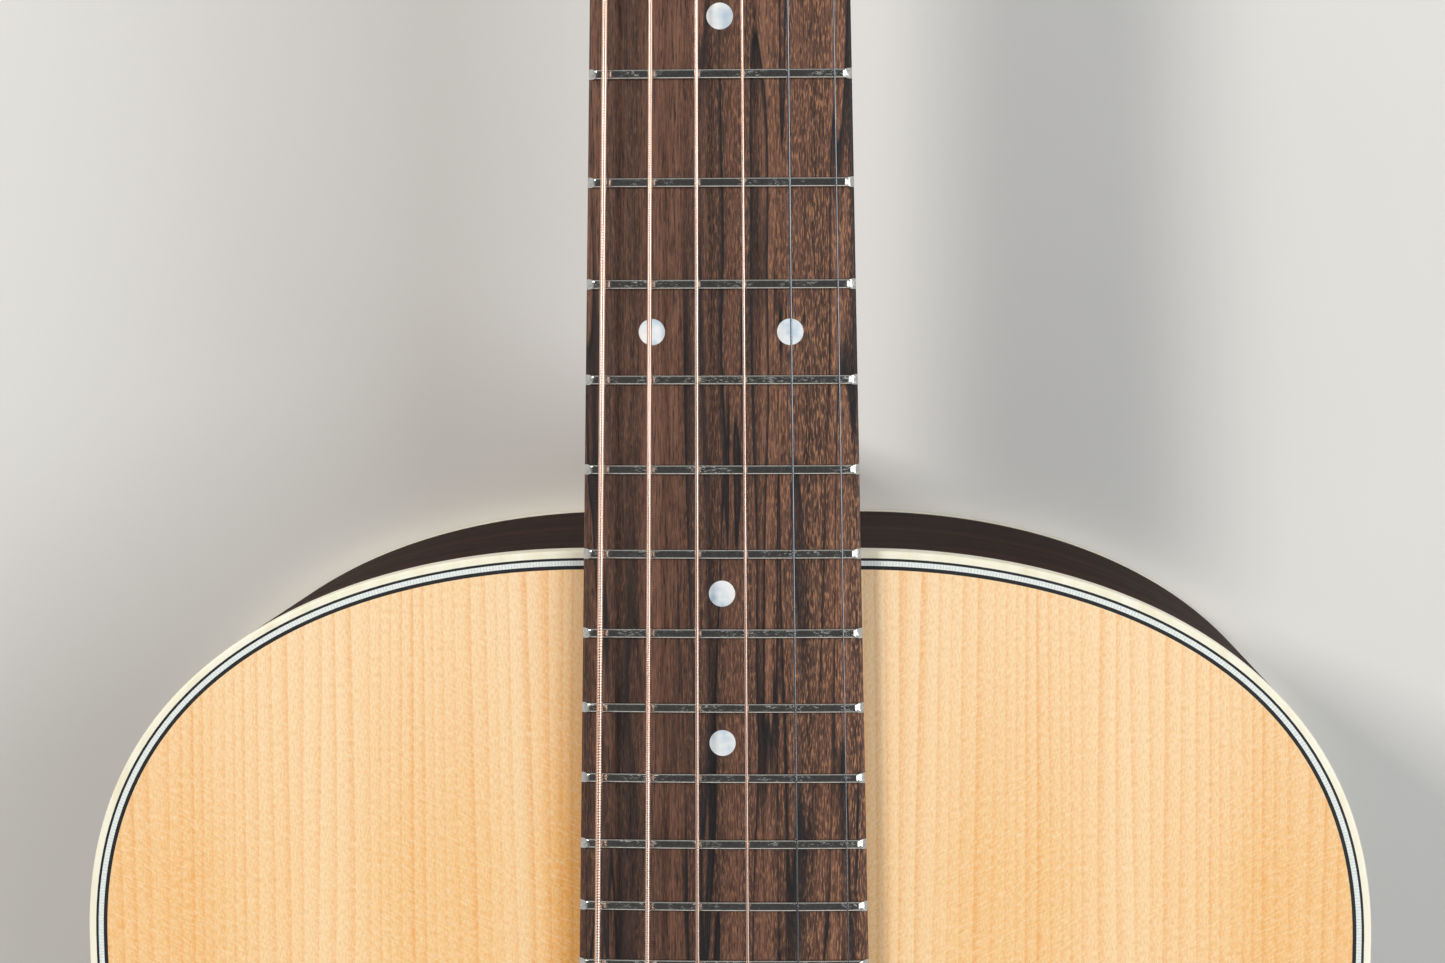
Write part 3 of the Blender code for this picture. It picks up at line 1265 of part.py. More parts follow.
def string_route(number, side, x, y):
    """Points and radius factors of a string from its ball to its post."""
    gauge = STRING_GAUGES[number - 1]
    radius = gauge / 2
    slot_x = pin_places()[number - 1]
    nut_x = nut_place(number)
    ball_z = PLATE_BOTTOM - GAP - BALL_RADIUS
    ball_y = PIN_Y + PIN_RADIUS + BALL_RADIUS
    rise_y = PIN_Y + PIN_SLOT_REACH - GAP - STRING_GAUGES[-1] / 2
    over = BRIDGE_TOP + GAP + radius
    saddle_y = SADDLE_Y + SADDLE_SLANT * slot_x
    swell = BALL_RADIUS / radius
    route = [
        ((slot_x, ball_y, ball_z - 0.98 * BALL_RADIUS), 0.35 * swell),
        ((slot_x, ball_y, ball_z - 0.6 * BALL_RADIUS), 0.85 * swell),
        ((slot_x, ball_y, ball_z), swell),
        ((slot_x, ball_y, ball_z + 0.6 * BALL_RADIUS), 0.85 * swell),
        ((slot_x, ball_y, ball_z + 0.98 * BALL_RADIUS), max(1, 0.35 * swell)),
        ((slot_x, mix(ball_y, rise_y, 0.2), PLATE_BOTTOM + 2 * GAP), 1),
        ((slot_x, rise_y, BRIDGE_TOP - gauge), 1),
        ((slot_x, rise_y + 0.2 * gauge, over - 0.2 * gauge), 1),
        ((slot_x, rise_y + 0.8 * gauge, over + 0.5 * gauge), 1),
        ((slot_x, saddle_y, string_bottom(slot_x, SADDLE_Y) + radius), 1),
        ((nut_x, GAP, string_bottom(nut_x, 0) + radius), 1),
        ((nut_x, NUT_LENGTH, string_bottom(nut_x, 0) + radius - NUT_LENGTH * 0.08), 1),
    ]
    points = [(Vector(place), factor) for place, factor in route]
    start = HEAD.inverted() @ points[-1][0]
    points += [(HEAD @ point, 1) for point in winding(number, side, x, y, start)]
    return points


def least_gap(points, gauge, steps):
    """Least clear space between a winding's turns, measured on its points."""
    best = 1
    for i, a in enumerate(points):
        for b in points[i + steps // 2:]:
            best = min(best, (a - b).length - gauge)
    return best


def strings():
    """Six strings, each one unbroken tube from its ball end over the saddle and nut to its post."""
    for number, side, x, y in tuner_spots():
        gauge = STRING_GAUGES[number - 1]
        route = string_route(number, side, x, y)
        curve = bpy.data.curves.new(f"string_{number}", "CURVE")
        curve.dimensions = "3D"
        curve.bevel_depth = gauge / 2
        curve.bevel_resolution = 1
        curve.use_fill_caps = True
        spline = curve.splines.new("POLY")
        spline.points.add(len(route) - 1)
        for point, (place, factor) in zip(spline.points, route):
            point.co = (*place, 1)
            point.radius = factor
        piece(f"string_{number}", curve, BRONZE if number > 2 else STEEL)
        turns = [place for place, _ in route[-int(WINDING_TURNS * WINDING_STEPS) - 2:]]
        gap = least_gap(turns, gauge, WINDING_STEPS)
        print(f"string {number}: least gap between its turns {gap * 1000:.2f} mm")


# The whole guitar

def build():
    """Make every piece in the guitar's frame."""
    holes = keyholes()
    pin_tool = end_pin_hole()
    soundboard(holes)
    back()
    bindings()
    for name, sign in (("side_bass", -1), ("side_treble", 1)):
        combine(side(name, sign), pin_tool, "DIFFERENCE")
    neck_block(tenon("mortise", 2 * GAP, ROD_DEPTH), rod_bore())
    tail_block(pin_tool)
    x_brace("x_brace_bass", -1, True)
    x_brace("x_brace_treble", 1, False)
    transverse_brace()
    bridge_plate(holes)
    bridge(holes)
    saddle()
    bridge_pins()
    end_pin()
    pickguard()
    neck()
    heel_cap()
    fretboard()
    nut()
    truss_rod()
    truss_rod_nut()
    bushings()
    string_posts()
    worm_wheels()
    tuner_keys()
    tuner_plate("tuner_plate_bass", -1)
    tuner_plate("tuner_plate_treble", 1)
    strings()


def lay_down():
    """Tilt the guitar so that the flat of its back is level, and put the origin under its middle."""
    GUITAR_FRAME.rotation_euler.x = -BACK_TILT
    bpy.context.view_layer.update()
    graph = bpy.context.evaluated_depsgraph_get()
    places = []
    for made in GUITAR.objects:
        if made.type == "EMPTY":
            continue
        shown = made.evaluated_get(graph)
        mesh = shown.to_mesh()
        places += [made.matrix_world @ vertex.co for vertex in mesh.vertices]
        shown.to_mesh_clear()
    middle = (min(p.y for p in places) + max(p.y for p in places)) / 2
    GUITAR_FRAME.location = (0, -middle, -min(p.z for p in places))
    bpy.context.view_layer.update()


build()
lay_down()
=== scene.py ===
# %% [markdown]
# # A steel-string acoustic guitar
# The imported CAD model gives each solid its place, its size and its joints. This lesson dresses that frame:
# it makes smooth shapes where the solids have facets, adds the thin trim that they leave out, and gives
# each surface its finish. Each step says what the piece is on a real guitar, how it could be made, and why
# it is made this way.

import json
from math import asin, atan, atan2, copysign, cos, pi, radians, sin, sqrt

import bmesh
import bpy
import numpy as np
from mathutils import Matrix, Vector

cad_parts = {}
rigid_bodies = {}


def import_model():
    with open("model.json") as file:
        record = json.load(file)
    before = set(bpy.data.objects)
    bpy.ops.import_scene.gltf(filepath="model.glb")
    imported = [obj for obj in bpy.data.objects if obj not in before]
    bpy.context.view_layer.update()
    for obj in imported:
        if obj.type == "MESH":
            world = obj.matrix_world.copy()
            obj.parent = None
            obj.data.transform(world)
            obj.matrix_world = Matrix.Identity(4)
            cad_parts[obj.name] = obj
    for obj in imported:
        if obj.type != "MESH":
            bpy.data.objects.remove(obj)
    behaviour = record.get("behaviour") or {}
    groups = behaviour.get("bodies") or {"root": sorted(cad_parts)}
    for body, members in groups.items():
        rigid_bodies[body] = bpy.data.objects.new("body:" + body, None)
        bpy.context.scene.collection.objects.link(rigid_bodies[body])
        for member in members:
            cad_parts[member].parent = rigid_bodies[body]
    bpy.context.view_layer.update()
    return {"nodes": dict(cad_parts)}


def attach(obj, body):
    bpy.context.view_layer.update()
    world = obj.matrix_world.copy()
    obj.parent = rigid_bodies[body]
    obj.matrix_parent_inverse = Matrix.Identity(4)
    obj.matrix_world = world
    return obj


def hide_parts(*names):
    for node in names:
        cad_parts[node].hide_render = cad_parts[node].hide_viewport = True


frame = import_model()
nodes = frame["nodes"]
MM = 0.001

# %% [markdown]
# ## The guitar's own frame
# A luthier measures from the nut, on the plane of the soundboard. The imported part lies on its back, and the
# body is deeper at the tail, so that plane is tilted a little. The tilt follows from the two depths. The
# farthest faces of two solids then give the nut's place, so every later size can be written as it is on the
# bench.

# %% Find the nut and the soundboard's plane
BODY_LENGTH = 490 * MM
DEPTH_AT_NECK, DEPTH_AT_TAIL = 96.5 * MM, 108 * MM
guitar = Matrix.Rotation(-atan2(DEPTH_AT_TAIL - DEPTH_AT_NECK, BODY_LENGTH), 4, "X")


def farthest(node, axis):
    """Vector to the farthest face of a solid along one of the guitar's axes."""
    way = guitar.to_3x3().col[axis]
    return way * max(vertex.co.dot(way) for vertex in nodes[node].data.vertices)


guitar.translation = farthest("fretboard", 1) + farthest("soundboard", 2)
print("nut at", [round(v, 4) for v in guitar.translation])

# %% [markdown]
# ## Camera
# The picture looks almost straight down on the upper body. A camera can be turned by eye until it matches,
# but fret spacing follows an exact law, so the frets work as a ruler: fitting the fret lines, the edges of
# the fretboard and the body's edge to one pinhole camera gives its place, its three small turns and its
# focal length in pixels.

# %% Place the camera
PHOTO_WIDTH = 1445
FOCAL_PIXELS = 3051.7
SENSOR = 36
CAMERA_PLACE = (26.04 * MM, -294.32 * MM, 618.5 * MM)
CAMERA_PITCH, CAMERA_YAW, CAMERA_ROLL = 0.0793, -0.0422, 0.0040


def new_object(name, data):
    """Object that is part of the scene."""
    made = bpy.data.objects.new(name, data)
    bpy.context.scene.collection.objects.link(made)
    return made


camera_data = bpy.data.cameras.new("camera")
camera_data.sensor_width = SENSOR
camera_data.lens = FOCAL_PIXELS / PHOTO_WIDTH * SENSOR
camera_data.clip_start = 10 * MM
camera = new_object("camera", camera_data)
look = Matrix.Rotation(CAMERA_ROLL, 3, "Z") @ Matrix.Rotation(CAMERA_PITCH, 3, "X")
look = look @ Matrix.Rotation(CAMERA_YAW, 3, "Y")
camera.matrix_world = guitar @ Matrix.Translation(CAMERA_PLACE) @ look.transposed().to_4x4()
bpy.context.scene.camera = camera
print("lens", round(camera_data.lens, 2), "mm")

# %% [markdown]
# ## Lamps
# A key lamp from the upper left makes the fretboard throw a narrow shadow on the soundboard to its right,
# and a broad fill from the right keeps that shadow open. A low, weak card beyond the tail brightens the
# lower shoulders of the frets. Square area lamps are chosen because their size sets how soft each shadow
# is.

# %% Set the lamps
# Place and width in metres, power in watts, and tint.
LAMPS = {
    "key": ((-2.9, 1.8, 3.7), 1.0, 121, (1.0, 0.965, 0.91)),
    "fill": ((3.1, 0.3, 3.6), 3.0, 122, (0.92, 0.965, 1.0)),
    "card": ((0.4, -4.0, 1.5), 2.5, 12, (1.0, 0.96, 0.9)),
}
AIM = Vector((0, -0.1, 0.1))
for name, (place, width, watts, tint) in LAMPS.items():
    lamp_data = bpy.data.lights.new(name, "AREA")
    lamp_data.size = width
    lamp_data.energy = watts
    lamp_data.color = tint
    lamp = new_object(name, lamp_data)
    lamp.location = place
    lamp.rotation_euler = (AIM - Vector(place)).to_track_quat("-Z", "Y").to_euler()
    lamp.visible_camera = False
    print(name, "lamp:", width, "m wide,", watts, "W")
bpy.context.scene.view_settings.view_transform = "Standard"

# %% [markdown]
# ## Tools for materials
# Colours are written as the hex values that a picture shows, and one function turns them to linear light.
# Nodes could be added one line at a time, but one function that adds a node with its settings and links
# lets each material below read as a short recipe.

# %% Material tools
# The Mix node's two colour inputs by number, and the settings with which it mixes colours.
A, B = 6, 7
COLOURS = {"data_type": "RGBA", "out": 2}


def linear(code):
    """Linear colour of an sRGB hex code."""
    values = [int(code[k:k + 2], 16) / 255 for k in (1, 3, 5)]
    return (*[v / 12.92 if v <= 0.04045 else ((v + 0.055) / 1.055) ** 2.4 for v in values], 1)


def finish(name, **values):
    """New material with values on its shader's own sockets."""
    made = bpy.data.materials.new(name)
    made.use_nodes = True
    for socket, value in values.items():
        made.node_tree.nodes["Principled BSDF"].inputs[socket.replace("_", " ")].default_value = value
    return made


def add(material, kind, inputs=None, stops=(), out=0, **settings):
    """Add a node and return one output: inputs are values or sockets to link, stops fill a colour ramp."""
    made = material.node_tree.nodes.new("ShaderNode" + kind)
    for name, value in settings.items():
        setattr(made, name, value)
    for name, value in (inputs or {}).items():
        if isinstance(value, bpy.types.NodeSocket):
            material.node_tree.links.new(value, made.inputs[name])
        else:
            made.inputs[name].default_value = value
    for number, (place, shade) in enumerate(stops):
        marks = made.color_ramp.elements
        if number == 0:
            marks.remove(marks[1])
        mark = marks.new(place) if number else marks[0]
        mark.position = place
        mark.color = linear(shade) if isinstance(shade, str) else (shade, shade, shade, 1)
    return made.outputs[out]


def feed(material, socket, output):
    """Link an output to a socket of the material's shader."""
    shader = material.node_tree.nodes["Principled BSDF"]
    material.node_tree.links.new(output, shader.inputs[socket])


print("mid grey in linear light:", round(linear("#808080")[0], 3))

# %% [markdown]
# ## Sky
# Polished metal mirrors its surroundings. A picture of a room could give it some, but a sky whose
# brightness depends only on how high a direction points is enough: dark overhead, so that the flat fret
# tops stay dark, and brighter towards the horizon, so that round strings get a bright line along each edge.

# %% Make the sky
# How high a direction points, and its brightness.
SKY = [(0.0, 0.80), (0.45, 0.60), (0.8, 0.14), (1.0, 0.08)]
world = bpy.data.worlds.new("dim_room")
world.use_nodes = True
bpy.context.scene.world = world
upward = add(world, "SeparateXYZ", {"Vector": add(world, "TexCoord", out="Generated")}, out="Z")
sky = add(world, "ValToRGB", {"Fac": upward}, SKY)
world.node_tree.links.new(sky, world.node_tree.nodes["Background"].inputs["Color"])
print("sky:", SKY[0][1], "at the horizon,", SKY[-1][1], "overhead")

# %% [markdown]
# ## Floor
# The floor is a sheet of matt paper, large enough that its edge is never seen. Its faint cloudiness comes
# from the tool that all the woods share: noise whose scale is given in millimetres, and which can be
# stretched along a grain.

# %% Lay the floor
FLOOR_HALF = 15


def grain(material, across, along, detail=3, axis=1, place=None, roughness=0.5, bend=0.0):
    """Noise stretched along the grain: across and along are the pattern's size in millimetres."""
    sizes = [1000 / across] * 3
    sizes[axis] = 1000 / along
    where = place or add(material, "TexCoord", out="Object")
    scaled = add(material, "Mapping", {"Vector": where, "Scale": sizes})
    return add(material, "TexNoise", {"Vector": scaled, "Scale": 1, "Detail": detail, "Roughness": roughness,
                                      "Distortion": bend})


# Paper, rolled from pulp: matt, with the least change of tone from patch to patch.
paper = finish("matt_paper", Roughness=0.9)
sheet = add(paper, "ValToRGB", {"Fac": grain(paper, 180, 180)}, [(0.3, "#e2e0dc"), (0.7, "#e6e4e0")])
feed(paper, "Base Color", sheet)
corners = [(x * FLOOR_HALF, y * FLOOR_HALF, 0) for x, y in ((-1, -1), (1, -1), (1, 1), (-1, 1))]
floor_mesh = bpy.data.meshes.new("floor")
floor_mesh.from_pydata(corners, [], [(0, 1, 2, 3)])
floor_mesh.materials.append(paper)
floor = new_object("floor", floor_mesh)
print("floor:", 2 * FLOOR_HALF, "m wide")

# %% [markdown]
# ## Spruce rings
# Spruce for the top is quarter-sawn, two halves of one board opened like a book, so the rings run as fine
# straight lines that mirror about the middle. Each ring starts with a sharp dark line and fades outwards. A
# wave texture could draw even lines, but real ones wander, so the rings are counted across the board and a
# slow noise shifts the count.

# %% Count the rings
RING_WIDTH = 2.7 * MM
# Spruce, planed and lacquered: clear lacquer over pale wood gives a soft sheen.
spruce = finish("lacquered_spruce", Roughness=0.45, Specular_IOR_Level=0.3)
x, y, z = add(spruce, "SeparateXYZ", {"Vector": add(spruce, "TexCoord", out="Object")}).node.outputs
from_joint = add(spruce, "Math", {0: x}, operation="ABSOLUTE")
booked = add(spruce, "CombineXYZ", {"X": from_joint, "Y": y, "Z": z})
drift = add(spruce, "Math", {0: grain(spruce, 26, 520, 2, place=booked), 1: 6.0}, operation="MULTIPLY")
count = add(spruce, "Math", {0: from_joint, 1: 1 / RING_WIDTH, 2: drift}, operation="MULTIPLY_ADD")
ring = add(spruce, "Math", {0: count}, operation="FRACT")
late = add(spruce, "ValToRGB", {"Fac": ring},
           [(0.0, 1.0), (0.1, 0.9), (0.35, 0.3), (0.7, 0.0), (0.94, 0.05), (1.0, 0.9)])
strength = add(spruce, "ValToRGB", {"Fac": grain(spruce, 6, 500, 3, place=booked)}, [(0.3, 0.1), (0.72, 0.6)])
late = add(spruce, "Math", {0: late, 1: strength}, operation="MULTIPLY")
print("rings:", round(RING_WIDTH / MM, 1), "mm apart")

# %% [markdown]
# ## Spruce colour
# The plate is painted amber in a band beside the bass edge of the fretboard, a painted warm light that also
# offsets the fill lamp's shadow there. It turns deeper orange towards its rim, and is painted paler by the
# neck, a painted light where more falls from above. Short pale flecks across the rings are the rays, called
# silk. Each is a share between 0 and 1, so one loop lays their colours over the ground in turn. Fibres and
# flecks are drawn several times coarser than the real ones, which are too fine to show.

# %% Colour the spruce
tone = add(spruce, "ValToRGB", {"Fac": grain(spruce, 30, 700, 2, place=booked)},
           [(0.28, "#f4bf79"), (0.5, "#fad19a"), (0.75, "#fddcae")])
# Painted warm light: an amber band by the fretboard's bass edge, also offsetting the fill lamp's shadow.
to_bass = add(spruce, "Math", {0: x, 1: -1 / (100 * MM)}, operation="MULTIPLY")
painted_warm_light = add(spruce, "ValToRGB", {"Fac": to_bass}, [(0.20, 0.0), (0.28, 0.9), (0.33, 0.9), (0.42, 0.0)])
painted_warm_light_fade = add(spruce, "MapRange", {"Value": y, "From Min": -560 * MM, "From Max": -470 * MM, "To Min": 0.15})
painted_warm_light = add(spruce, "Math", {0: painted_warm_light, 1: painted_warm_light_fade}, operation="MULTIPLY")
near_edge = add(spruce, "MapRange", {"Value": from_joint, "From Min": 95 * MM, "From Max": 130 * MM,
                                     "To Max": 0.6})
# Painted light: the plate is paler by the neck, where more light falls from above.
painted_light_by_neck = add(spruce, "MapRange", {"Value": y, "From Min": -425 * MM, "From Max": -372 * MM, "To Max": 0.65})
slanted = add(spruce, "Mapping", {"Vector": booked, "Rotation": (0, 0, radians(-28))})
silk = add(spruce, "ValToRGB", {"Fac": grain(spruce, 0.45, 2.2, 2, axis=0, place=slanted)},
           [(0.42, 0.0), (0.72, 0.55)])
for share, shade in ((painted_warm_light, "#ffba5e"), (near_edge, "#f3ba72"), (painted_light_by_neck, "#ffe3bd"), (late, "#ee9c3a"),
                     (silk, "#fde3bd")):
    tone = add(spruce, "Mix", {"Factor": share, A: tone, B: linear(shade)}, **COLOURS)
fibre = add(spruce, "ValToRGB", {"Fac": grain(spruce, 0.35, 1.1, 3)}, [(0.34, "#ebd9ba"), (0.6, "#ffffff")])
tone = add(spruce, "Mix", {"Factor": 0.5, A: tone, B: fibre}, blend_type="MULTIPLY", **COLOURS)
feed(spruce, "Base Color", tone)
feed(spruce, "Normal", add(spruce, "Bump", {"Height": late, "Distance": 0.008 * MM}))
print("spruce:", len(spruce.node_tree.nodes), "nodes")

# %% [markdown]
# ## Fretboard wood
# The fretboard and the bridge are a dark hardwood: brown bands, with a few black ink-like lines that swell
# and run out along the board. A long and narrow noise crosses its middle value along just such lines, so a
# narrow band of its values is the ink, sharp on one side and soft on the other. The treble side of this
# board is lighter and shows short pale flecks. Flecks and pores are drawn about three times coarser than
# the real ones.

# %% Mix the dark wood
def board_wood(name, axis):
    """Oiled dark hardwood whose grain runs along the given axis."""
    made = finish(name, Roughness=0.5, Specular_IOR_Level=0.3)
    place = add(made, "SeparateXYZ", {"Vector": add(made, "TexCoord", out="Object")}).node.outputs
    to_treble = add(made, "MapRange", {"Value": place[1 - axis], "From Min": -10 * MM, "From Max": 25 * MM})
    # Painted sheen: the board is lighter towards the nut.
    painted_sheen_to_nut = add(made, "MapRange", {"Value": place[axis], "From Min": -400 * MM, "From Max": -280 * MM,
                                    "To Max": 0.09})
    bands = grain(made, 5, 420, 2, axis)
    broad = add(made, "Math", {0: to_treble, 1: 0.1, 2: bands}, operation="MULTIPLY_ADD")
    broad = add(made, "Math", {0: broad, 1: painted_sheen_to_nut}, operation="ADD")
    tone = add(made, "ValToRGB", {"Fac": broad},
               [(0.3, "#43332d"), (0.44, "#5a4238"), (0.58, "#745244"), (0.75, "#8f6753")])
    fibres = add(made, "ValToRGB", {"Fac": grain(made, 0.3, 9, 4, axis, roughness=0.65)},
                 [(0.32, "#6c6462"), (0.5, "#d6d0cd"), (0.66, "#ffffff")])
    tone = add(made, "Mix", {"Factor": 0.9, A: tone, B: fibres}, blend_type="MULTIPLY", **COLOURS)
    flecks = add(made, "ValToRGB", {"Fac": grain(made, 0.25, 1.8, 2, axis)}, [(0.5, 0.0), (0.66, 0.9)])
    by_treble = add(made, "Math", {0: to_treble, 1: 0.75, 2: 0.2}, operation="MULTIPLY_ADD")
    flecks = add(made, "Math", {0: flecks, 1: by_treble}, operation="MULTIPLY")
    ink = add(made, "ValToRGB", {"Fac": grain(made, 6.5, 170, 2, axis, roughness=0.45, bend=0.5)},
              [(0.425, 0.0), (0.465, 0.8), (0.49, 1.0), (0.503, 0.0)])
    patches = add(made, "ValToRGB", {"Fac": grain(made, 11, 120, 2, axis)}, [(0.36, 0.1), (0.5, 1.0)])
    ink = add(made, "Math", {0: ink, 1: patches}, operation="MULTIPLY")
    pores = add(made, "ValToRGB", {"Fac": grain(made, 0.3, 4, 2, axis)}, [(0.32, 0.8), (0.42, 0.0)])
    for share, shade in ((flecks, "#b3815f"), (ink, "#17171a"), (pores, "#2a201c")):
        tone = add(made, "Mix", {"Factor": share, A: tone, B: linear(shade)}, **COLOURS)
    feed(made, "Base Color", tone)
    feed(made, "Normal", add(made, "Bump", {"Height": pores, "Distance": -0.05 * MM}))
    return made


# Dark hardwood, planed, sanded and oiled: bare wood with open pores, so it stays almost matt.
fretboard_wood = board_wood("oiled_dark_hardwood", 1)
bridge_wood = board_wood("oiled_dark_hardwood_crosswise", 0)
print("dark wood:", len(fretboard_wood.node_tree.nodes), "nodes")

# %% [markdown]
# ## Rosewood, mahogany and bare spruce
# The other woods are plainer, so one recipe serves them all: three broad tones, darker streaks a quarter as
# wide, and pores, drawn about twice as wide as real ones so that they show. On a bent side the grain
# follows the bend, so there the pattern is placed by an attribute that the mesh carries instead of by the
# object.

# %% Mix the plain woods
def streaked(name, axis, shades, streak, across, along, bent=False, **values):
    """Wood with broad tones, darker streaks and pores, its grain along an axis or along a bend."""
    made = finish(name, **values)
    place = add(made, "Attribute", out="Vector", attribute_name="bend") if bent else None
    tone = add(made, "ValToRGB", {"Fac": grain(made, across, along, 4, axis, place)},
               [*zip((0.3, 0.5, 0.7), shades)])
    lines = add(made, "ValToRGB", {"Fac": grain(made, across / 4, along * 1.5, 3, axis, place)},
                [(0.5, 0.0), (0.66, 0.85)])
    pores = add(made, "ValToRGB", {"Fac": grain(made, 0.3, 6, 2, axis, place)}, [(0.34, 0.7), (0.46, 0.0)])
    for share in (lines, pores):
        tone = add(made, "Mix", {"Factor": share, A: tone, B: linear(streak)}, **COLOURS)
    feed(made, "Base Color", tone)
    feed(made, "Normal", add(made, "Bump", {"Height": pores, "Distance": -0.02 * MM}))
    return made


# Rosewood sides, lacquered and rubbed down: painted darker than the back, a painted shade, and dull, with no
# clear mirror image of the floor.
rosewood = streaked("shaded_rosewood_sides", 1, ("#1f110d", "#2f1a13", "#42251a"), "#100807", 9, 260, True,
                    Roughness=0.55, Specular_IOR_Level=0.015)
# Rosewood veneer, filled and polished: a clear coat mirrors over a dull ground.
rosewood_veneer = streaked("rosewood_veneer", 1, ("#2c1912", "#3b221a", "#4d2c20"), "#170d0a", 6, 200,
                           Roughness=0.35, Coat_Weight=0.5, Coat_Roughness=0.06)
# Mahogany, carved and sealed: a plain warm brown with a satin sheen.
mahogany = streaked("satin_mahogany", 1, ("#5d3522", "#6d3f29", "#7c4a31"), "#4a2919", 6, 160, Roughness=0.45)
# The same wood as it leaves the saw, inside the body: paler, and matt.
bare_mahogany = streaked("bare_mahogany", 2, ("#8a5a3c", "#986648", "#a67454"), "#6f452d", 6, 120,
                         Roughness=0.8)
# Spruce, split and planed for braces: pale and matt.
bare_spruce, bare_spruce_crosswise = (
    streaked(name, axis, ("#dcc096", "#e4cba4", "#ecd7b4"), "#c9a873", 4, 200, Roughness=0.8)
    for name, axis in (("bare_spruce", 1), ("bare_spruce_crosswise", 0))
)
print("woods:", len(bpy.data.materials), "materials so far")

# %% [markdown]
# ## Plastics, fibre, bone and shell
# Small trim needs no figure of its own, but a flat colour looks painted. A noise of a real size, spread
# over a few near shades, gives each the slight cloudiness of the stuff that it is made of.

# %% Mix the trim
def mottled(name, shades, size, along=None, depth=0.0, **values):
    """Material with a slow change of tone of a given size in millimetres, and a bump of the same pattern."""
    made = finish(name, **values)
    spread = grain(made, size, along or size, 3)
    stops = [(0.3 + 0.4 * k / (len(shades) - 1), shade) for k, shade in enumerate(shades)]
    feed(made, "Base Color", add(made, "ValToRGB", {"Fac": spread}, stops))
    if depth:
        feed(made, "Normal", add(made, "Bump", {"Height": spread, "Distance": depth * MM}))
    return made


# Celluloid, cast in ivory layers and scraped flush: light sinks in a little, so its edges look soft.
ivory = mottled("ivory_celluloid", ("#f1e8cd", "#f7f0da", "#fbf6e6"), 4, 60, Roughness=0.35,
                Subsurface_Weight=0.1, Subsurface_Scale=2 * MM)
# Fibre, pressed in sheets, dyed and cut to strips: dull, with short streaks or specks.
black_fibre = mottled("black_fibre", ("#0d0d10", "#16161a", "#202024"), 0.6, 5, Roughness=0.5)
white_fibre = mottled("white_fibre", ("#dbe1de", "#e7ebe8", "#f0f3f0"), 0.5, Roughness=0.5)
# Bone, bleached and ground: a satin surface with faint streaks.
bone = mottled("polished_bone", ("#e3d8bf", "#ece3cd", "#f3ecda"), 1.2, 6, Roughness=0.4)
# Shell, sawn and polished: it shimmers between white and pale blue in soft patches.
pearl = mottled("shell_pearl", ("#a9c2d5", "#c5d4e0", "#e4e9ed", "#f4f4f4", "#fbf8f5"), 6, Roughness=0.25,
                Specular_IOR_Level=0.4)
# Celluloid, poured in dark and amber drifts and polished: deep brown clouds under a gloss.
tortoise = mottled("tortoise_celluloid", ("#120906", "#2a120a", "#54240f", "#1a0c07"), 9, Roughness=0.3,
                   Specular_IOR_Level=0.35)
print("trim:", *[each.name for each in (ivory, black_fibre, white_fibre, bone, pearl, tortoise)])

# %% [markdown]
# ## Metals
# Tuners are nickel plate on steel, frets are nickel silver, wheels are brass, and the thick strings are
# wrapped in phosphor bronze. Frets are scratched dull in patches by the strings. One value would make them
# all bright or all grey, so two noises, patches and scratches, set the roughness from point to point.

# %% Mix the metals
FRET_BRIGHT, FRET_DULL = 0.13, 0.45
# Nickel, plated on buffed steel: a warm mirror, a little hazy.
nickel = mottled("polished_nickel", ("#c2bfb9", "#c8c5bf", "#cdcac4"), 6, Roughness=0.2, Metallic=1.0)
# Steel, drawn through dies: dark and bright along its length.
steel = mottled("drawn_steel", ("#70757c", "#7e838a", "#8c9197"), 0.5, 30, Roughness=0.18, Metallic=1.0)
# Phosphor bronze, drawn and wound on: pink gold, softened by the turns.
BRONZE = ("#e3bba7", "#edcab9", "#f5dacd")
bronze = mottled("phosphor_bronze_wire", BRONZE, 0.8, 25, Roughness=0.3, Metallic=1.0)
# Brass, cut by a hob: yellow, with faint tool marks.
brass = mottled("cut_brass", ("#b8924c", "#c7a25b", "#d2b06c"), 1.5, depth=0.002, Roughness=0.3, Metallic=1.0)
# Nickel silver, drawn, levelled and polished: bright, with dull scuffs drawn coarser than real scratches.
fret_wire = mottled("nickel_silver", ("#b4b3ae", "#c3c2bd", "#d0cfca"), 0.5, depth=0.002, Metallic=1.0)
worn = add(fret_wire, "ValToRGB", {"Fac": grain(fret_wire, 5, 5, 2)}, [(0.45, 0.0), (0.58, 1.0)])
scratches = add(fret_wire, "ValToRGB", {"Fac": grain(fret_wire, 0.35, 0.9, 4, axis=0, roughness=0.7)},
                [(0.5, 0.0), (0.62, 1.0)])
scuffed = add(fret_wire, "Math", {0: worn, 1: scratches}, operation="MULTIPLY")
dull = add(fret_wire, "MapRange", {"Value": scuffed, "To Min": FRET_BRIGHT, "To Max": FRET_DULL})
feed(fret_wire, "Roughness", dull)
print("materials:", len(bpy.data.materials))

# %% [markdown]
# ## Body outline
# A body is drawn as half a template and flipped. The half is four cubic curves, from a short flat at the
# neck, round the upper bout, in to the waist, out round the lower bout and in to the tail. Blender's curves
# could draw it, but worked out as numbers each point also gets its inward normal, so that edgings follow
# the outline at any inset.

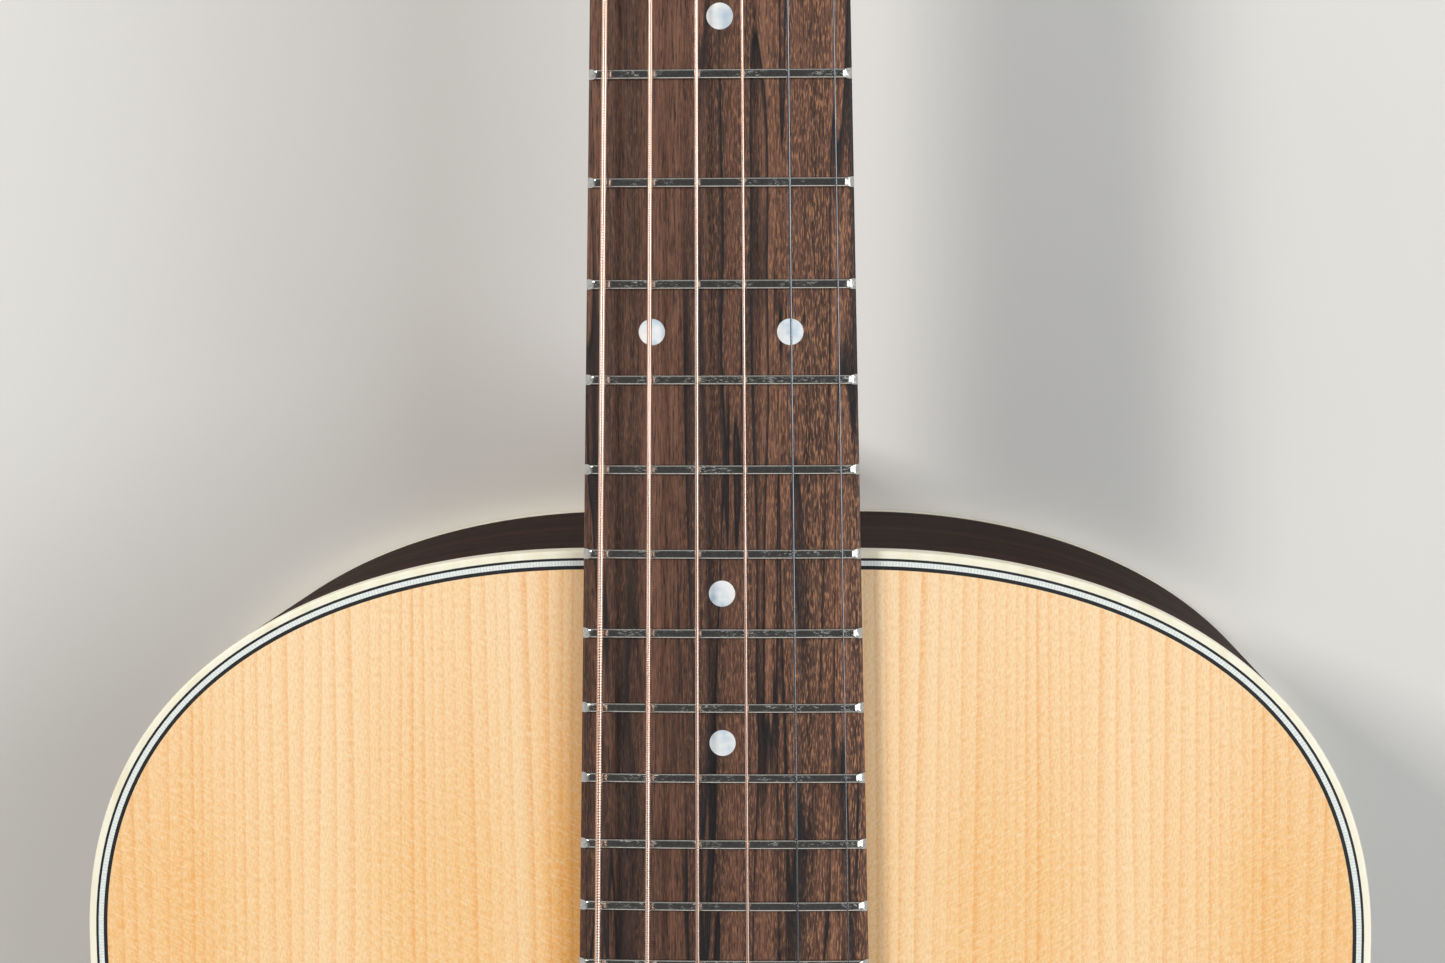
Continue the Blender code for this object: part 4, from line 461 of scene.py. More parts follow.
# %% Draw the outline
SCALE_LENGTH = 645 * MM
BODY_FRET = 14
FLAT = 28 * MM
UPPER, UPPER_AT = 132.15 * MM, 79.7 * MM
WAIST, WAIST_AT = 118 * MM, 188 * MM
LOWER, LOWER_AT = 188 * MM, 368 * MM
MIRROR = (-1, 1, -1, 1)
NECK_PULL, UPPER_PULL = 0.48, 0.27
WAIST_PULL, LOWER_PULL = 0.42, 0.5
HIP_PULL, TAIL_PULL = 0.62, 0.58


def mix(a, b, share):
    """Value between two others."""
    return a + (b - a) * share


def fret_y(number):
    """Place of a fret: each is a twelfth of an octave nearer the bridge."""
    return -SCALE_LENGTH * (1 - 2 ** (-number / 12))


def curve_points(p0, p1, p2, p3, steps):
    """Points of a cubic with inward normals, the end left out."""
    t = np.linspace(0, 1, steps, endpoint=False)[:, None]
    p0, p1, p2, p3 = (np.array(p) for p in (p0, p1, p2, p3))
    u = 1 - t
    points = u**3 * p0 + 3 * u * u * t * p1 + 3 * u * t * t * p2 + t**3 * p3
    slope = u * u * (p1 - p0) + 2 * u * t * (p2 - p1) + t * t * (p3 - p2)
    slope /= np.linalg.norm(slope, axis=1)[:, None]
    return np.column_stack((points, -slope[:, 1], slope[:, 0]))


BODY_EDGE = fret_y(BODY_FRET)
upper, waist, lower, tail = (UPPER, UPPER_AT), (WAIST, WAIST_AT), (LOWER, LOWER_AT), (0, BODY_LENGTH)
half_outline = np.vstack((
    curve_points((FLAT, 0), (mix(FLAT, UPPER, NECK_PULL), 0), (UPPER, UPPER_AT * UPPER_PULL), upper, 56),
    curve_points(upper, (UPPER, mix(UPPER_AT, WAIST_AT, WAIST_PULL)),
                 (WAIST, mix(WAIST_AT, UPPER_AT, WAIST_PULL)), waist, 32),
    curve_points(waist, (WAIST, mix(WAIST_AT, LOWER_AT, WAIST_PULL)),
                 (LOWER, mix(LOWER_AT, WAIST_AT, LOWER_PULL)), lower, 36),
    curve_points(lower, (LOWER, mix(LOWER_AT, BODY_LENGTH, HIP_PULL)), (LOWER * TAIL_PULL, BODY_LENGTH),
                 tail, 48),
    [(*tail, 0, -1)],
))
outline = np.vstack((half_outline, half_outline[-2::-1] * MIRROR))
print("outline:", len(outline), "points, body edge at", round(BODY_EDGE / MM, 1), "mm")

# %% [markdown]
# ## Sweeping along the outline
# Binding, purfling and sides are strips bent round the outline. A curve with a bevel could make one, but it
# can't follow the arch of the back. Here a short profile is carried along the points, and neighbouring
# sections are skinned with faces. Bent wood needs its grain to follow, so each point can also store how far
# it lies along the bend.

# %% Sweep tools
FLAT_BACK = 24 * MM
ARCH_RADIUS = 3.5


def inset(stations, distance):
    """x and distance from the neck end of an outline moved inwards."""
    return stations[:, :2] + distance * stations[:, 2:]


def back_height(x, s):
    """Outer face of the back: flat down the middle, arched up to each side, deeper towards the tail."""
    rise = np.maximum(0, np.abs(x) - FLAT_BACK) ** 2 / (2 * ARCH_RADIUS)
    return rise - mix(DEPTH_AT_NECK, DEPTH_AT_TAIL, s / BODY_LENGTH)


def skin(rings, closed=False):
    """Points and faces over rings of equal counts, capped unless the path closes."""
    count = len(rings[0])
    points = [tuple(p) for ring in rings for p in ring]
    faces = []
    for i in range(len(rings) if closed else len(rings) - 1):
        a, b = i * count, (i + 1) % len(rings) * count
        faces += [(a + k, a + (k + 1) % count, b + (k + 1) % count, b + k) for k in range(count)]
    if not closed:
        faces += [tuple(range(count)), tuple(range(len(points) - count, len(points)))]
    return points, faces


def swept(profile, from_back=False):
    """Strip round the body of (inset, height) pairs; heights count from the top or from the back."""
    columns = []
    for distance, height in profile:
        x, s = inset(outline, distance).T
        z = back_height(x, s) + height if from_back else np.full(len(x), height)
        columns.append(np.column_stack((x, BODY_EDGE - s, z)))
    return skin(np.stack(columns, axis=1).tolist(), True)


def travelled(points):
    """Length of a path up to each of its points."""
    return np.concatenate(([0], np.cumsum(np.linalg.norm(np.diff(points, axis=0), axis=1))))


def mark_bend(mesh, stations):
    """Store how far each point lies along the bend."""
    along = travelled(stations[:, :2])
    bend = mesh.attributes.new("bend", "FLOAT_VECTOR", "POINT")
    for number, vertex in enumerate(mesh.vertices):
        nearest = np.argmin(np.hypot(stations[:, 0] - vertex.co.x, BODY_EDGE - stations[:, 1] - vertex.co.y))
        bend.data[number].vector = (0, along[nearest], vertex.co.z)


print("round the body:", round(travelled(outline[:, :2])[-1], 3), "m")

# %% [markdown]
# ## Pieces
# Every piece goes the same way: its points and faces become a mesh with outward faces, smooth apart from
# its corners. Then it gets its finish, rides on the body that carries it, and may stand for one of the
# solids. One function does all of that, so that no piece can miss a step.

# %% Piece tools
SAME_POINT = 0.002 * MM


def smooth(mesh, angle):
    """Round the shading of a mesh, apart from edges sharper than the angle."""
    mesh.shade_smooth()
    mesh.set_sharp_from_angle(angle=radians(angle))
    return mesh


def solid(shape, angle=35):
    """Mesh of a shape, with doubled points joined and faces turned outwards; a mesh stays as it is."""
    if isinstance(shape, bpy.types.Mesh):
        return shape
    bm = bmesh.new()
    corners = [bm.verts.new(p) for p in shape[0]]
    for face in shape[1]:
        bm.faces.new([corners[k] for k in face])
    bmesh.ops.remove_doubles(bm, verts=bm.verts, dist=SAME_POINT)
    bmesh.ops.recalc_face_normals(bm, faces=bm.faces)
    mesh = bpy.data.meshes.new("shape")
    bm.to_mesh(mesh)
    bm.free()
    return smooth(mesh, angle)


def dress(name, shape, surface, slot, instead=None, body="guitar", at=guitar, angle=35):
    """Piece of the guitar: placed, finished, riding on its body and standing for a solid."""
    made = new_object(name, solid(shape, angle))
    made.matrix_world = at
    made.data.materials.append(surface)
    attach(made, body)
    if instead:
        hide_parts(instead)
    return made


def size(made):
    """Sides of a piece's own box in millimetres."""
    return [round(side / MM, 1) for side in made.dimensions]


# %% [markdown]
# ## Binding
# The corners of the box are its weak edges, so a strip of ivory celluloid is let in all round the top and
# the back, with its outer corner rounded over. The back's strip is the same profile upside down, measured
# from the arched back.

# %% Bind the edges
BINDING = 1.5 * MM
BINDING_HEIGHT = 6 * MM
ROUND_OVER = 0.5 * MM


def arc(x, y, start, end, steps, wide, tall=None):
    """Points of a round stretch about a centre, between two angles in degrees."""
    angles = np.radians(np.linspace(start, end, steps))
    return [(x + wide * cos(a), y + (tall or wide) * sin(a)) for a in angles]


corner = arc(ROUND_OVER, -ROUND_OVER, 180, 90, 6, ROUND_OVER)
strip = [(0, -BINDING_HEIGHT), *corner, (BINDING, 0), (BINDING, -BINDING_HEIGHT)]
binding = dress("binding_of_top", swept(strip), ivory, "ivory_plastic", "top_binding")
upturned = [(distance, -height) for distance, height in strip]
dress("binding_of_back", swept(upturned, True), ivory, "ivory_plastic", "back_binding")
print("binding:", size(binding), "mm")

# %% [markdown]
# ## Purfling
# Inside the binding lies a black line, a white strip and a black line, and one black line on the back. The
# white strip is made of short grains side by side, which show as fine ticks. Modelling each would cost
# thousands of faces, so a wave along the bend darkens the colour instead.

# %% Let in the purfling
BLACK_LINE, WHITE_STRIP, INNER_LINE = 0.52 * MM, 1.04 * MM, 0.78 * MM
PURFLING_DEPTH = 1.6 * MM
TICK_SPACING = 0.65 * MM


def tone_of(material):
    """Output that feeds a material's colour, so that more can be laid over it."""
    return material.node_tree.nodes["Principled BSDF"].inputs["Base Color"].links[0].from_socket


# White fibre, cut across and glued in a row: dull, with a grey joint at each grain.
ticked_fibre = white_fibre.copy()
ticked_fibre.name = "white_fibre_ticked"
bend = add(ticked_fibre, "Attribute", out="Vector", attribute_name="bend")
along = add(ticked_fibre, "SeparateXYZ", {"Vector": bend}, out="Y")
phase = add(ticked_fibre, "Math", {0: along, 1: 2 * pi / TICK_SPACING}, operation="MULTIPLY")
wave = add(ticked_fibre, "Math", {0: phase}, operation="SINE")
tick = add(ticked_fibre, "MapRange", {"Value": wave, "From Min": 0.3, "To Max": 0.5})
tone = add(ticked_fibre, "Mix", {"Factor": tick, A: tone_of(ticked_fibre), B: linear("#b9c4c1")}, **COLOURS)
feed(ticked_fibre, "Base Color", tone)
near = BINDING
for name, width, surface in (
    ("outer_black_line", BLACK_LINE, black_fibre), ("white_strip", WHITE_STRIP, ticked_fibre),
    ("inner_black_line", INNER_LINE, black_fibre),
):
    far = near + width
    mesh = solid(swept([(near, -PURFLING_DEPTH), (near, 0), (far, 0), (far, -PURFLING_DEPTH)]))
    mark_bend(mesh, outline)
    dress(name, mesh, surface, "ivory_plastic")
    near = far
TOP_INSET, BACK_INSET = near, BINDING + BLACK_LINE
line = [(BINDING, 0), (BACK_INSET, 0), (BACK_INSET, PURFLING_DEPTH), (BINDING, PURFLING_DEPTH)]
dress("black_line_of_back", swept(line, True), black_fibre, "ivory_plastic")
print("edging of the top:", round(TOP_INSET / MM, 2), "mm wide")

# %% [markdown]
# ## Soundboard
# A thin plate with a round hole. Faces could be cut by hand, but a 2D curve fills its loops, takes inner
# loops as holes, gives the plate its thickness and can round its edges, so all flat plates are made that
# way.

# %% Make the soundboard
HOLE_RADIUS, HOLE_AT = 50 * MM, 153 * MM
TOP_THICKNESS = 3 * MM
HOLE_Y = BODY_EDGE - HOLE_AT


def turns(steps):
    """Angles of a whole turn in equal steps."""
    return [2 * pi * k / steps for k in range(steps)]


def circle(x, y, radius, steps):
    """Points round a circle in the plane."""
    return [(x + radius * cos(a), y + radius * sin(a)) for a in turns(steps)]


def as_mesh(guide):
    """Mesh of an object with its modifiers applied; the object is removed."""
    bpy.context.view_layer.update()
    mesh = bpy.data.meshes.new_from_object(guide.evaluated_get(bpy.context.evaluated_depsgraph_get()))
    bpy.data.objects.remove(guide)
    return mesh


def plate(loops, low, high, round_edge=0.0):
    """Shape of a flat outline between two heights, with holes and a rounded edge."""
    curve = bpy.data.curves.new("plate", "CURVE")
    curve.dimensions = "2D"
    curve.fill_mode = "BOTH"
    curve.extrude = (high - low) / 2 - round_edge
    curve.bevel_depth = round_edge
    curve.bevel_resolution = 2
    curve.offset = -round_edge
    for loop in loops:
        spline = curve.splines.new("POLY")
        spline.points.add(len(loop) - 1)
        spline.use_cyclic_u = True
        for spot, (x, y) in zip(spline.points, loop):
            spot.co = (x, y, 0, 1)
    mesh = as_mesh(new_object("plate", curve))
    mesh.transform(Matrix.Translation((0, 0, (low + high) / 2)))
    return [tuple(vertex.co) for vertex in mesh.vertices], [tuple(face.vertices) for face in mesh.polygons]


rim = [(x, BODY_EDGE - s) for x, s in inset(outline, TOP_INSET)]
top = plate([rim, circle(0, HOLE_Y, HOLE_RADIUS, 128)], -TOP_THICKNESS, 0)
soundboard = dress("soundboard_plate", top, spruce, "spruce", "soundboard")
print("soundboard:", size(soundboard), "mm")

# %% [markdown]
# ## Tone bars
# Two light bars are glued under the top behind the bridge to shape its sound. A bar is a skin over a row of
# gabled sections that are low at both ends, where a luthier pares them away. The back's braces use the same
# section.

# %% Glue the tone bars
COMPENSATION = 2.2 * MM
PIN_SETBACK = 13.5 * MM
SADDLE_Y = -(SCALE_LENGTH + COMPENSATION)
PIN_Y = SADDLE_Y - PIN_SETBACK
BRACE_WIDTH = 8 * MM
BRACE_SHOULDER, BRACE_TAPER = 0.6, 3.2
BAR_END, BAR_TALL = 3 * MM, 9 * MM
BAR_HALF, BAR_SLANT = 74.4 * MM, 34 * MM
BAR_BEHIND, BAR_SPACING, BAR_SHIFT = 34 * MM, 47.6 * MM, 20 * MM


def ease(share):
    """Share that starts and stops gently."""
    share = min(1, max(0, share))
    return share * share * (3 - 2 * share)


def gable(tall):
    """Section of a brace: sideways and upright places of its five corners."""
    half, shoulder = BRACE_WIDTH / 2, BRACE_SHOULDER * tall
    return (-half, 0), (half, 0), (half, shoulder), (0, tall), (-half, shoulder)


def tone_bar(start, end):
    """Bar under the top, low at both ends."""
    sideways = Vector((0, 0, 1)).cross(end - start).normalized()
    rings = []
    for share in np.linspace(0, 1, 13):
        tall = mix(BAR_END, BAR_TALL, ease(BRACE_TAPER * share) * ease(BRACE_TAPER * (1 - share)))
        rings.append([start.lerp(end, share) + w * sideways - Vector((0, 0, h)) for w, h in gable(tall)])
    return skin(rings)


for k, shift in enumerate((-BAR_SHIFT, BAR_SHIFT)):
    y = PIN_Y - BAR_BEHIND - BAR_SPACING * k
    start = Vector((shift - BAR_HALF, y, -TOP_THICKNESS))
    end = Vector((shift + BAR_HALF, y - BAR_SLANT, -TOP_THICKNESS))
    bar = dress(f"tone_bar_{k + 1}", tone_bar(start, end), bare_spruce_crosswise, "brace_spruce", angle=20)
    print("tone bar", k + 1, size(bar), "mm")

# %% [markdown]
# ## Rosette
# Three bands of dyed fibre are let in round the hole, a narrow one each side of a wider one. They could be
# drawn in the material, but as pieces their edges stay sharp from any distance. Each ring stands a hair
# above the plate, as inlay does under lacquer.

# %% Inlay the rosette
INLAY_RISE, INLAY_DEPTH = 0.02 * MM, 1 * MM
# Inner radius of each band and the widths of its rings, in millimetres.
ROSETTE = ((53.0, (0.6, 1.0, 0.6)), (58.4, (0.6, 0.9, 2.0, 0.9, 0.6)), (66.6, (0.6, 1.0, 0.6)))


def spun(profile, steps):
    """Ring about Z of a closed profile of (radius, height) pairs."""
    return skin([[(r * cos(a), r * sin(a), z) for r, z in profile] for a in turns(steps)], True)


def moved(shape, matrix):
    """Shape placed by a matrix."""
    return [tuple(matrix @ Vector(p)) for p in shape[0]], shape[1]


number = 0
for radius, widths in ROSETTE:
    for k, width in enumerate(widths):
        number += 1
        near, far = radius * MM, (radius + width) * MM
        inlay = spun([(near, -INLAY_DEPTH), (near, INLAY_RISE), (far, INLAY_RISE), (far, -INLAY_DEPTH)], 128)
        inlay = moved(inlay, Matrix.Translation((0, HOLE_Y, 0)))
        dress(f"rosette_{number}", inlay, white_fibre if k % 2 else black_fibre, "ivory_plastic")
        radius += width
print("rosette:", number, "rings")

# %% [markdown]
# ## Sides and linings
# Each side is one thin strip bent round half the outline. Inside, kerfed lining, a strip of wood sawn into
# blocks so that it bends, gives the top and the back a ledge to be glued to. The blocks could be an array
# along a curve, but a skin that steps in and out along the side makes the whole row in one piece.

# %% Bend the sides
SIDES = (("treble", 1), ("bass", -1))
SIDE_THICKNESS = 2.2 * MM
BACK_THICKNESS = 2.8 * MM
HEEL_COVER = 11 * MM
LINING_START = 44 * MM
LINING_WIDTH, LINING_HEIGHT, LINING_WEB = 6 * MM, 14 * MM, 1.0 * MM
KERF_SPACING, KERF = 6 * MM, 1.0 * MM


def bent_side(stations):
    """Thin wall from the top binding to the back binding."""
    rings = []
    for outer, inner in zip(inset(stations, 0), inset(stations, SIDE_THICKNESS)):
        low = back_height(*outer) + BINDING_HEIGHT
        ring = (outer, -BINDING_HEIGHT), (outer, low), (inner, low), (inner, -BINDING_HEIGHT)
        rings.append([(x, BODY_EDGE - s, z) for (x, s), z in ring])
    return skin(rings)


def lining(stations, at_back):
    """Row of wedge blocks on a thin web, along one edge of a side."""
    along = travelled(stations[:, :2])
    rings = []
    for start in KERF_SPACING * np.arange(int(along[-1] / KERF_SPACING)):
        end = start + KERF_SPACING
        cut = end - KERF
        for place, width in zip((start, cut, cut, end), (LINING_WIDTH, LINING_WIDTH, LINING_WEB, LINING_WEB)):
            spot = np.array([[np.interp(place, along, column) for column in stations.T]])
            wall, lip = inset(spot, SIDE_THICKNESS)[0], inset(spot, SIDE_THICKNESS + width)[0]
            seat = back_height(*wall) + BACK_THICKNESS if at_back else -TOP_THICKNESS
            foot = seat + LINING_HEIGHT if at_back else seat - LINING_HEIGHT
            rings.append([(x, BODY_EDGE - s, z) for (x, s), z in ((wall, seat), (lip, seat), (wall, foot))])
    return skin(rings)


for side, sign in SIDES:
    half = half_outline * (sign, 1, sign, 1)
    stations = np.vstack(([(sign * HEEL_COVER, 0, 0, 1)], half))
    mesh = solid(bent_side(stations))
    mark_bend(mesh, stations)
    made = dress(f"bent_side_{side}", mesh, rosewood, "rosewood", f"side_{side}")
    lined = half[np.abs(half[:, 0]) > LINING_START]
    for edge in ("top", "back"):
        dress(f"lining_{edge}_{side}", lining(lined, edge == "back"), bare_mahogany, "mahogany", angle=20)
    print(side, "side:", size(made), "mm")

# %% [markdown]
# ## Back
# The back is two book-matched halves with a pale strip between black lines down the joint, arched across
# its width. The plate is a skin over rows that follow the arch. The strip is flush and glued in, so the
# material draws it, by the distance from the joint.

# %% Make the back
STRIP_HALF = 3.0 * MM
# Rosewood, filled, lacquered and polished: a clear coat mirrors over the dark figure.
book_back = streaked("book_matched_rosewood", 1, ("#2c1711", "#432419", "#5a3222"), "#170c09", 11, 240,
                     Roughness=0.35, Coat_Weight=0.5, Coat_Roughness=0.06)
x = add(book_back, "SeparateXYZ", {"Vector": add(book_back, "TexCoord", out="Object")}, out="X")
from_joint = add(book_back, "Math", {0: x}, operation="ABSOLUTE")
place = add(book_back, "Math", {0: from_joint, 1: STRIP_HALF}, operation="DIVIDE")
strip = add(book_back, "ValToRGB", {"Fac": place},
            [(0.0, "#c79a63"), (0.6, "#d8b07a"), (0.8, "#1a0f0b"), (1.0, "#1a0f0b")])
in_strip = add(book_back, "Math", {0: from_joint, 1: STRIP_HALF}, operation="LESS_THAN")
tone = add(book_back, "Mix", {"Factor": in_strip, A: tone_of(book_back), B: strip}, **COLOURS)
feed(book_back, "Base Color", tone)
rows = inset(half_outline, BACK_INSET)
rings = []
for half, s in rows:
    outer = [(x, BODY_EDGE - s, back_height(x, s)) for x in np.linspace(-1, 1, 25) * half]
    rings.append(outer + [(x, y, z + BACK_THICKNESS) for x, y, z in reversed(outer)])
back = dress("back_plate", skin(rings), book_back, "rosewood", "back")
print("back:", size(back), "mm")

# %% [markdown]
# ## Back braces
# Four braces cross the back inside, shaped to its arch, and a strip of spruce reinforces the joint between
# them. Its lengths stop short of each brace, so they are several skins put together as one piece.

# %% Brace the back
BACK_BRACES_AT = (75 * MM, 212 * MM, 305 * MM, 405 * MM)
BRACE_END, BRACE_TALL = 2 * MM, 11 * MM
JOINT_START, JOINT_END, JOINT_GAP = 52 * MM, BODY_LENGTH - 26 * MM, 5 * MM
# Sideways and upright places in millimetres.
JOINT_SECTION = ((-8, 0), (8, 0), (8, 0.8), (6, 2), (-6, 2), (-8, 0.8))


def together(shapes):
    """Several shapes as one."""
    points, faces = [], []
    for more_points, more_faces in shapes:
        base = len(points)
        points += more_points
        faces += [tuple(base + k for k in face) for face in more_faces]
    return points, faces


for number, s in enumerate(BACK_BRACES_AT, 1):
    half = np.interp(s, rows[:, 1], rows[:, 0]) - SIDE_THICKNESS - LINING_WIDTH
    rings = []
    for share in np.linspace(-1, 1, 25):
        seat = back_height(share * half, s) + BACK_THICKNESS
        tall = mix(BRACE_END, BRACE_TALL, ease(BRACE_TAPER * (1 - abs(share))))
        rings.append([(share * half, BODY_EDGE - s + w, seat + h) for w, h in gable(tall)])
    dress(f"back_brace_{number}", skin(rings), bare_spruce_crosswise, "brace_spruce", angle=20)
lengths = []
for start, end in zip((JOINT_START, *BACK_BRACES_AT), (*BACK_BRACES_AT, JOINT_END)):
    rings = []
    for s in (start + JOINT_GAP, end - JOINT_GAP):
        seat = back_height(0, s) + BACK_THICKNESS
        rings.append([(w * MM, BODY_EDGE - s, seat + h * MM) for w, h in JOINT_SECTION])
    lengths.append(skin(rings))
joint = dress("joint_strip", together(lengths), bare_spruce_crosswise, "brace_spruce", angle=20)
print("joint strip:", size(joint), "mm")

# %% [markdown]
# ## Fretboard
# A long tapered board, curved across its top so that the fingers wrap it, with its long edges rolled over.
# The sections are worked out from the half width and the height at each place, because frets, dots and
# strings need both again.

# %% Make the fretboard
GAP = 0.3 * MM
BOARD_TOP = GAP + 6 * MM
BOARD_RADIUS = 406 * MM
BOARD_ROLL = 0.6 * MM
BOARD_TAIL = 13.5 * MM
FRET_COUNT = 20
NUT_WIDTH, WIDTH_AT_OCTAVE = 43 * MM, 54.8 * MM


def board_half(y):
    """Half width of the fretboard."""
    return mix(NUT_WIDTH, WIDTH_AT_OCTAVE, max(0, -y) / (SCALE_LENGTH / 2)) / 2


def board_top(x):
    """Height of the fretboard's curved top."""
    return BOARD_TOP - x * x / (2 * BOARD_RADIUS)


rings = []
for y in np.linspace(0, fret_y(FRET_COUNT) - BOARD_TAIL, 24):
    half = board_half(y)
    inner = half - BOARD_ROLL
    top = [(x, board_top(x)) for x in np.linspace(-1, 1, 17) * inner]
    right = arc(inner, board_top(inner) - BOARD_ROLL, 90, 0, 6, BOARD_ROLL)[1:] + [(half, 0)]
    left = [(-x, z) for x, z in reversed(right)]
    rings.append([(x, y, z) for x, z in top + right + left])
board = dress("fretboard_plank", skin(rings), fretboard_wood, "fretboard_wood", "fretboard")
print("fretboard:", size(board), "mm")

# %% [markdown]
# ## Frets
# Fret wire is drawn with a rounded crown, hammered into a slot and levelled, which leaves a narrow flat on
# top. Its ends are filed to a bevel. A bevelled curve would keep its ends square, so each fret is a skin
# whose reach shrinks with height.

# %% Press in the frets
CROWN_WIDTH, CROWN_HEIGHT = 2.1 * MM, 1.0 * MM
FRET_INSET = 0.15 * MM
END_BEVEL = 1.3
END_ROUND = 0.02
# Shares of the crown's half width and of its height, up one shoulder.
SHOULDER = [(1, -0.1), (1, 0), (0.99, 0.3), (0.93, 0.6), (0.82, 0.83), (0.66, 0.96), (0.45, 1), (0.2, 1)]
crown = SHOULDER + [(-c, h) for c, h in reversed(SHOULDER)]
frets = []
for number in range(1, FRET_COUNT + 1):
    y = fret_y(number)
    rings = []
    for share in (-1, *np.linspace(END_ROUND - 1, 1 - END_ROUND, 19), 1):
        ring = []
        for c, h in crown:
            x = share * (board_half(y) - FRET_INSET - h * CROWN_HEIGHT * END_BEVEL)
            ring.append((x, y + c * CROWN_WIDTH / 2, board_top(x) + h * CROWN_HEIGHT))
        rings.append(ring)
    frets.append(skin(rings))
dress("fret_wires", together(frets), fret_wire, "nickel", angle=40)
print("frets:", len(frets))

# %% [markdown]
# ## Position dots
# Discs of shell are let into the board midway between frets, with small ones in its edge where the player
# looks. A flat cylinder would sink into the curved top, so each disc takes its heights from the board.

# %% Inlay the dots
DOT_FRETS = (3, 5, 7, 9, 12, 15, 17)
OCTAVE = 12
DOT_RADIUS, DOT_PAIR = 2.65 * MM, 13.9 * MM
SIDE_DOT_RADIUS, SIDE_DOT_PAIR = 1.0 * MM, 2.2 * MM
SIDE_DOT_PROUD, SIDE_DOT_DEPTH = 0.03 * MM, 0.4 * MM
# Shares of the radius, and heights above the board in millimetres.
DOT_SECTION = ((1, -0.6), (1, 0.0), (0.97, 0.025))
TIP_RADIUS = 0.001 * MM


def turned(profile, steps=32):
    """Shape turned about Z from (radius, height) pairs, as on a lathe."""
    return skin([[(x, y, z) for x, y in circle(0, 0, max(r, TIP_RADIUS), steps)] for r, z in profile])


dots, side_dots = [], []
for number in DOT_FRETS:
    y = (fret_y(number) + fret_y(number - 1)) / 2
    for place in (-1, 1) if number == OCTAVE else (0,):
        rings = []
        for share, lift in DOT_SECTION:
            spots = circle(place * DOT_PAIR, y, share * DOT_RADIUS, 48)
            rings.append([(px, py, board_top(px) + lift * MM) for px, py in spots])
        dots.append(skin(rings))
        centre = (-board_half(y) - SIDE_DOT_PROUD, y + place * SIDE_DOT_PAIR, BOARD_TOP / 2)
        facing = Matrix.Translation(centre) @ Matrix.Rotation(radians(90), 4, "Y")
        side_dots.append(moved(turned([(SIDE_DOT_RADIUS, 0), (SIDE_DOT_RADIUS, SIDE_DOT_DEPTH)], 20), facing))
dress("position_dots", together(dots), pearl, "bone")
dress("side_dots", together(side_dots), pearl, "bone")
print("dots:", len(dots), "and", len(side_dots), "in the edge")

# %% [markdown]
# ## Neck shaft and heel
# One piece of mahogany: a round-backed shaft, a heel that sweeps down to the body, and a headstock bent
# back so that the strings press on the nut. Sculpting would lose the exact fits, so a skin runs from the
# body to the tip. At each station the half width is worked out for each depth, as the larger of the shaft's
# round back and the heel's sweep.

# %% Carve the shaft and the heel
NUT_LENGTH = 5 * MM
HEEL_FACE = BODY_EDGE + GAP
HEEL_LENGTH, CAP_LENGTH = 66 * MM, 27 * MM
CAP_HALF, CAP_THICKNESS = 13 * MM, 3.5 * MM
CAP_LOW = float(back_height(0, -CAP_LENGTH)) + GAP
HEEL_TOP, HEEL_BOTTOM = 4.25 * MM, -(CAP_LOW + CAP_THICKNESS + GAP)
HEEL_SWEEP, HEEL_TAPER, HEEL_ROUND = 5, 0.8, 2.2
SHAFT_AT_NUT, SHAFT_AT_HEEL = 14.5 * MM, 17.0 * MM
SHAFT_START = 14 * MM
DEPTH_STEPS = 30


def heel_half(share):
    """Half width of the heel at a share of its height."""
    return mix(board_half(HEEL_FACE) - 4 * GAP, CAP_HALF, share**HEEL_TAPER)


def neck_half(out, depth, half, shaft):
    """Half width of the neck at a depth, a distance out from the body."""
    wide = half * sqrt(max(0, 1 - (depth / shaft) ** 2))
    share = (depth - HEEL_TOP) / (HEEL_BOTTOM - HEEL_TOP)
    if 0 <= share <= 1.0001:
        reach = out / mix(HEEL_LENGTH, CAP_LENGTH, 1 - (1 - min(1, share)) ** HEEL_SWEEP)
        if reach < 1:
            wide = max(wide, heel_half(min(1, share)) * sqrt(1 - reach**HEEL_ROUND))
    return wide


def depths(deepest):
    """Depths from the top to the deepest, closer together at both ends."""
    return [deepest * (1 - cos(pi * k / DEPTH_STEPS)) / 2 for k in range(DEPTH_STEPS + 1)]


def both_sides(right):
    """Closed ring from the points of its right side, top to bottom."""
    return right + [Vector((-p.x, p.y, p.z)) for p in reversed(right)]


neck_rings = []
outs = [*np.linspace(0, CAP_LENGTH * 0.999, 9)]
outs += [mix(CAP_LENGTH, HEEL_LENGTH, u**HEEL_SWEEP) for u in np.linspace(0.3, 1, 26)]
outs += [*np.linspace(HEEL_LENGTH + SHAFT_START, -NUT_LENGTH - HEEL_FACE, 14)]
for out in outs:
    y = HEEL_FACE + out
    shaft = mix(SHAFT_AT_NUT, SHAFT_AT_HEEL, y / HEEL_FACE)
    past_cap = min(1, max(0, out - CAP_LENGTH) / (HEEL_LENGTH - CAP_LENGTH))
    deepest = max(shaft, mix(HEEL_BOTTOM, HEEL_TOP, past_cap ** (1 / HEEL_SWEEP)))
    right = [Vector((neck_half(out, depth, board_half(y), shaft), y, -depth)) for depth in depths(deepest)]
    neck_rings.append(both_sides(right))
print("shaft and heel:", len(neck_rings), "sections")

# %% [markdown]
# ## Headstock
# The skin goes on up the headstock, a slab with rounded edges that flares out from the neck. Where the two
# meet, each section is a share of the neck's oval and a share of the slab, so that one flows into the
# other.

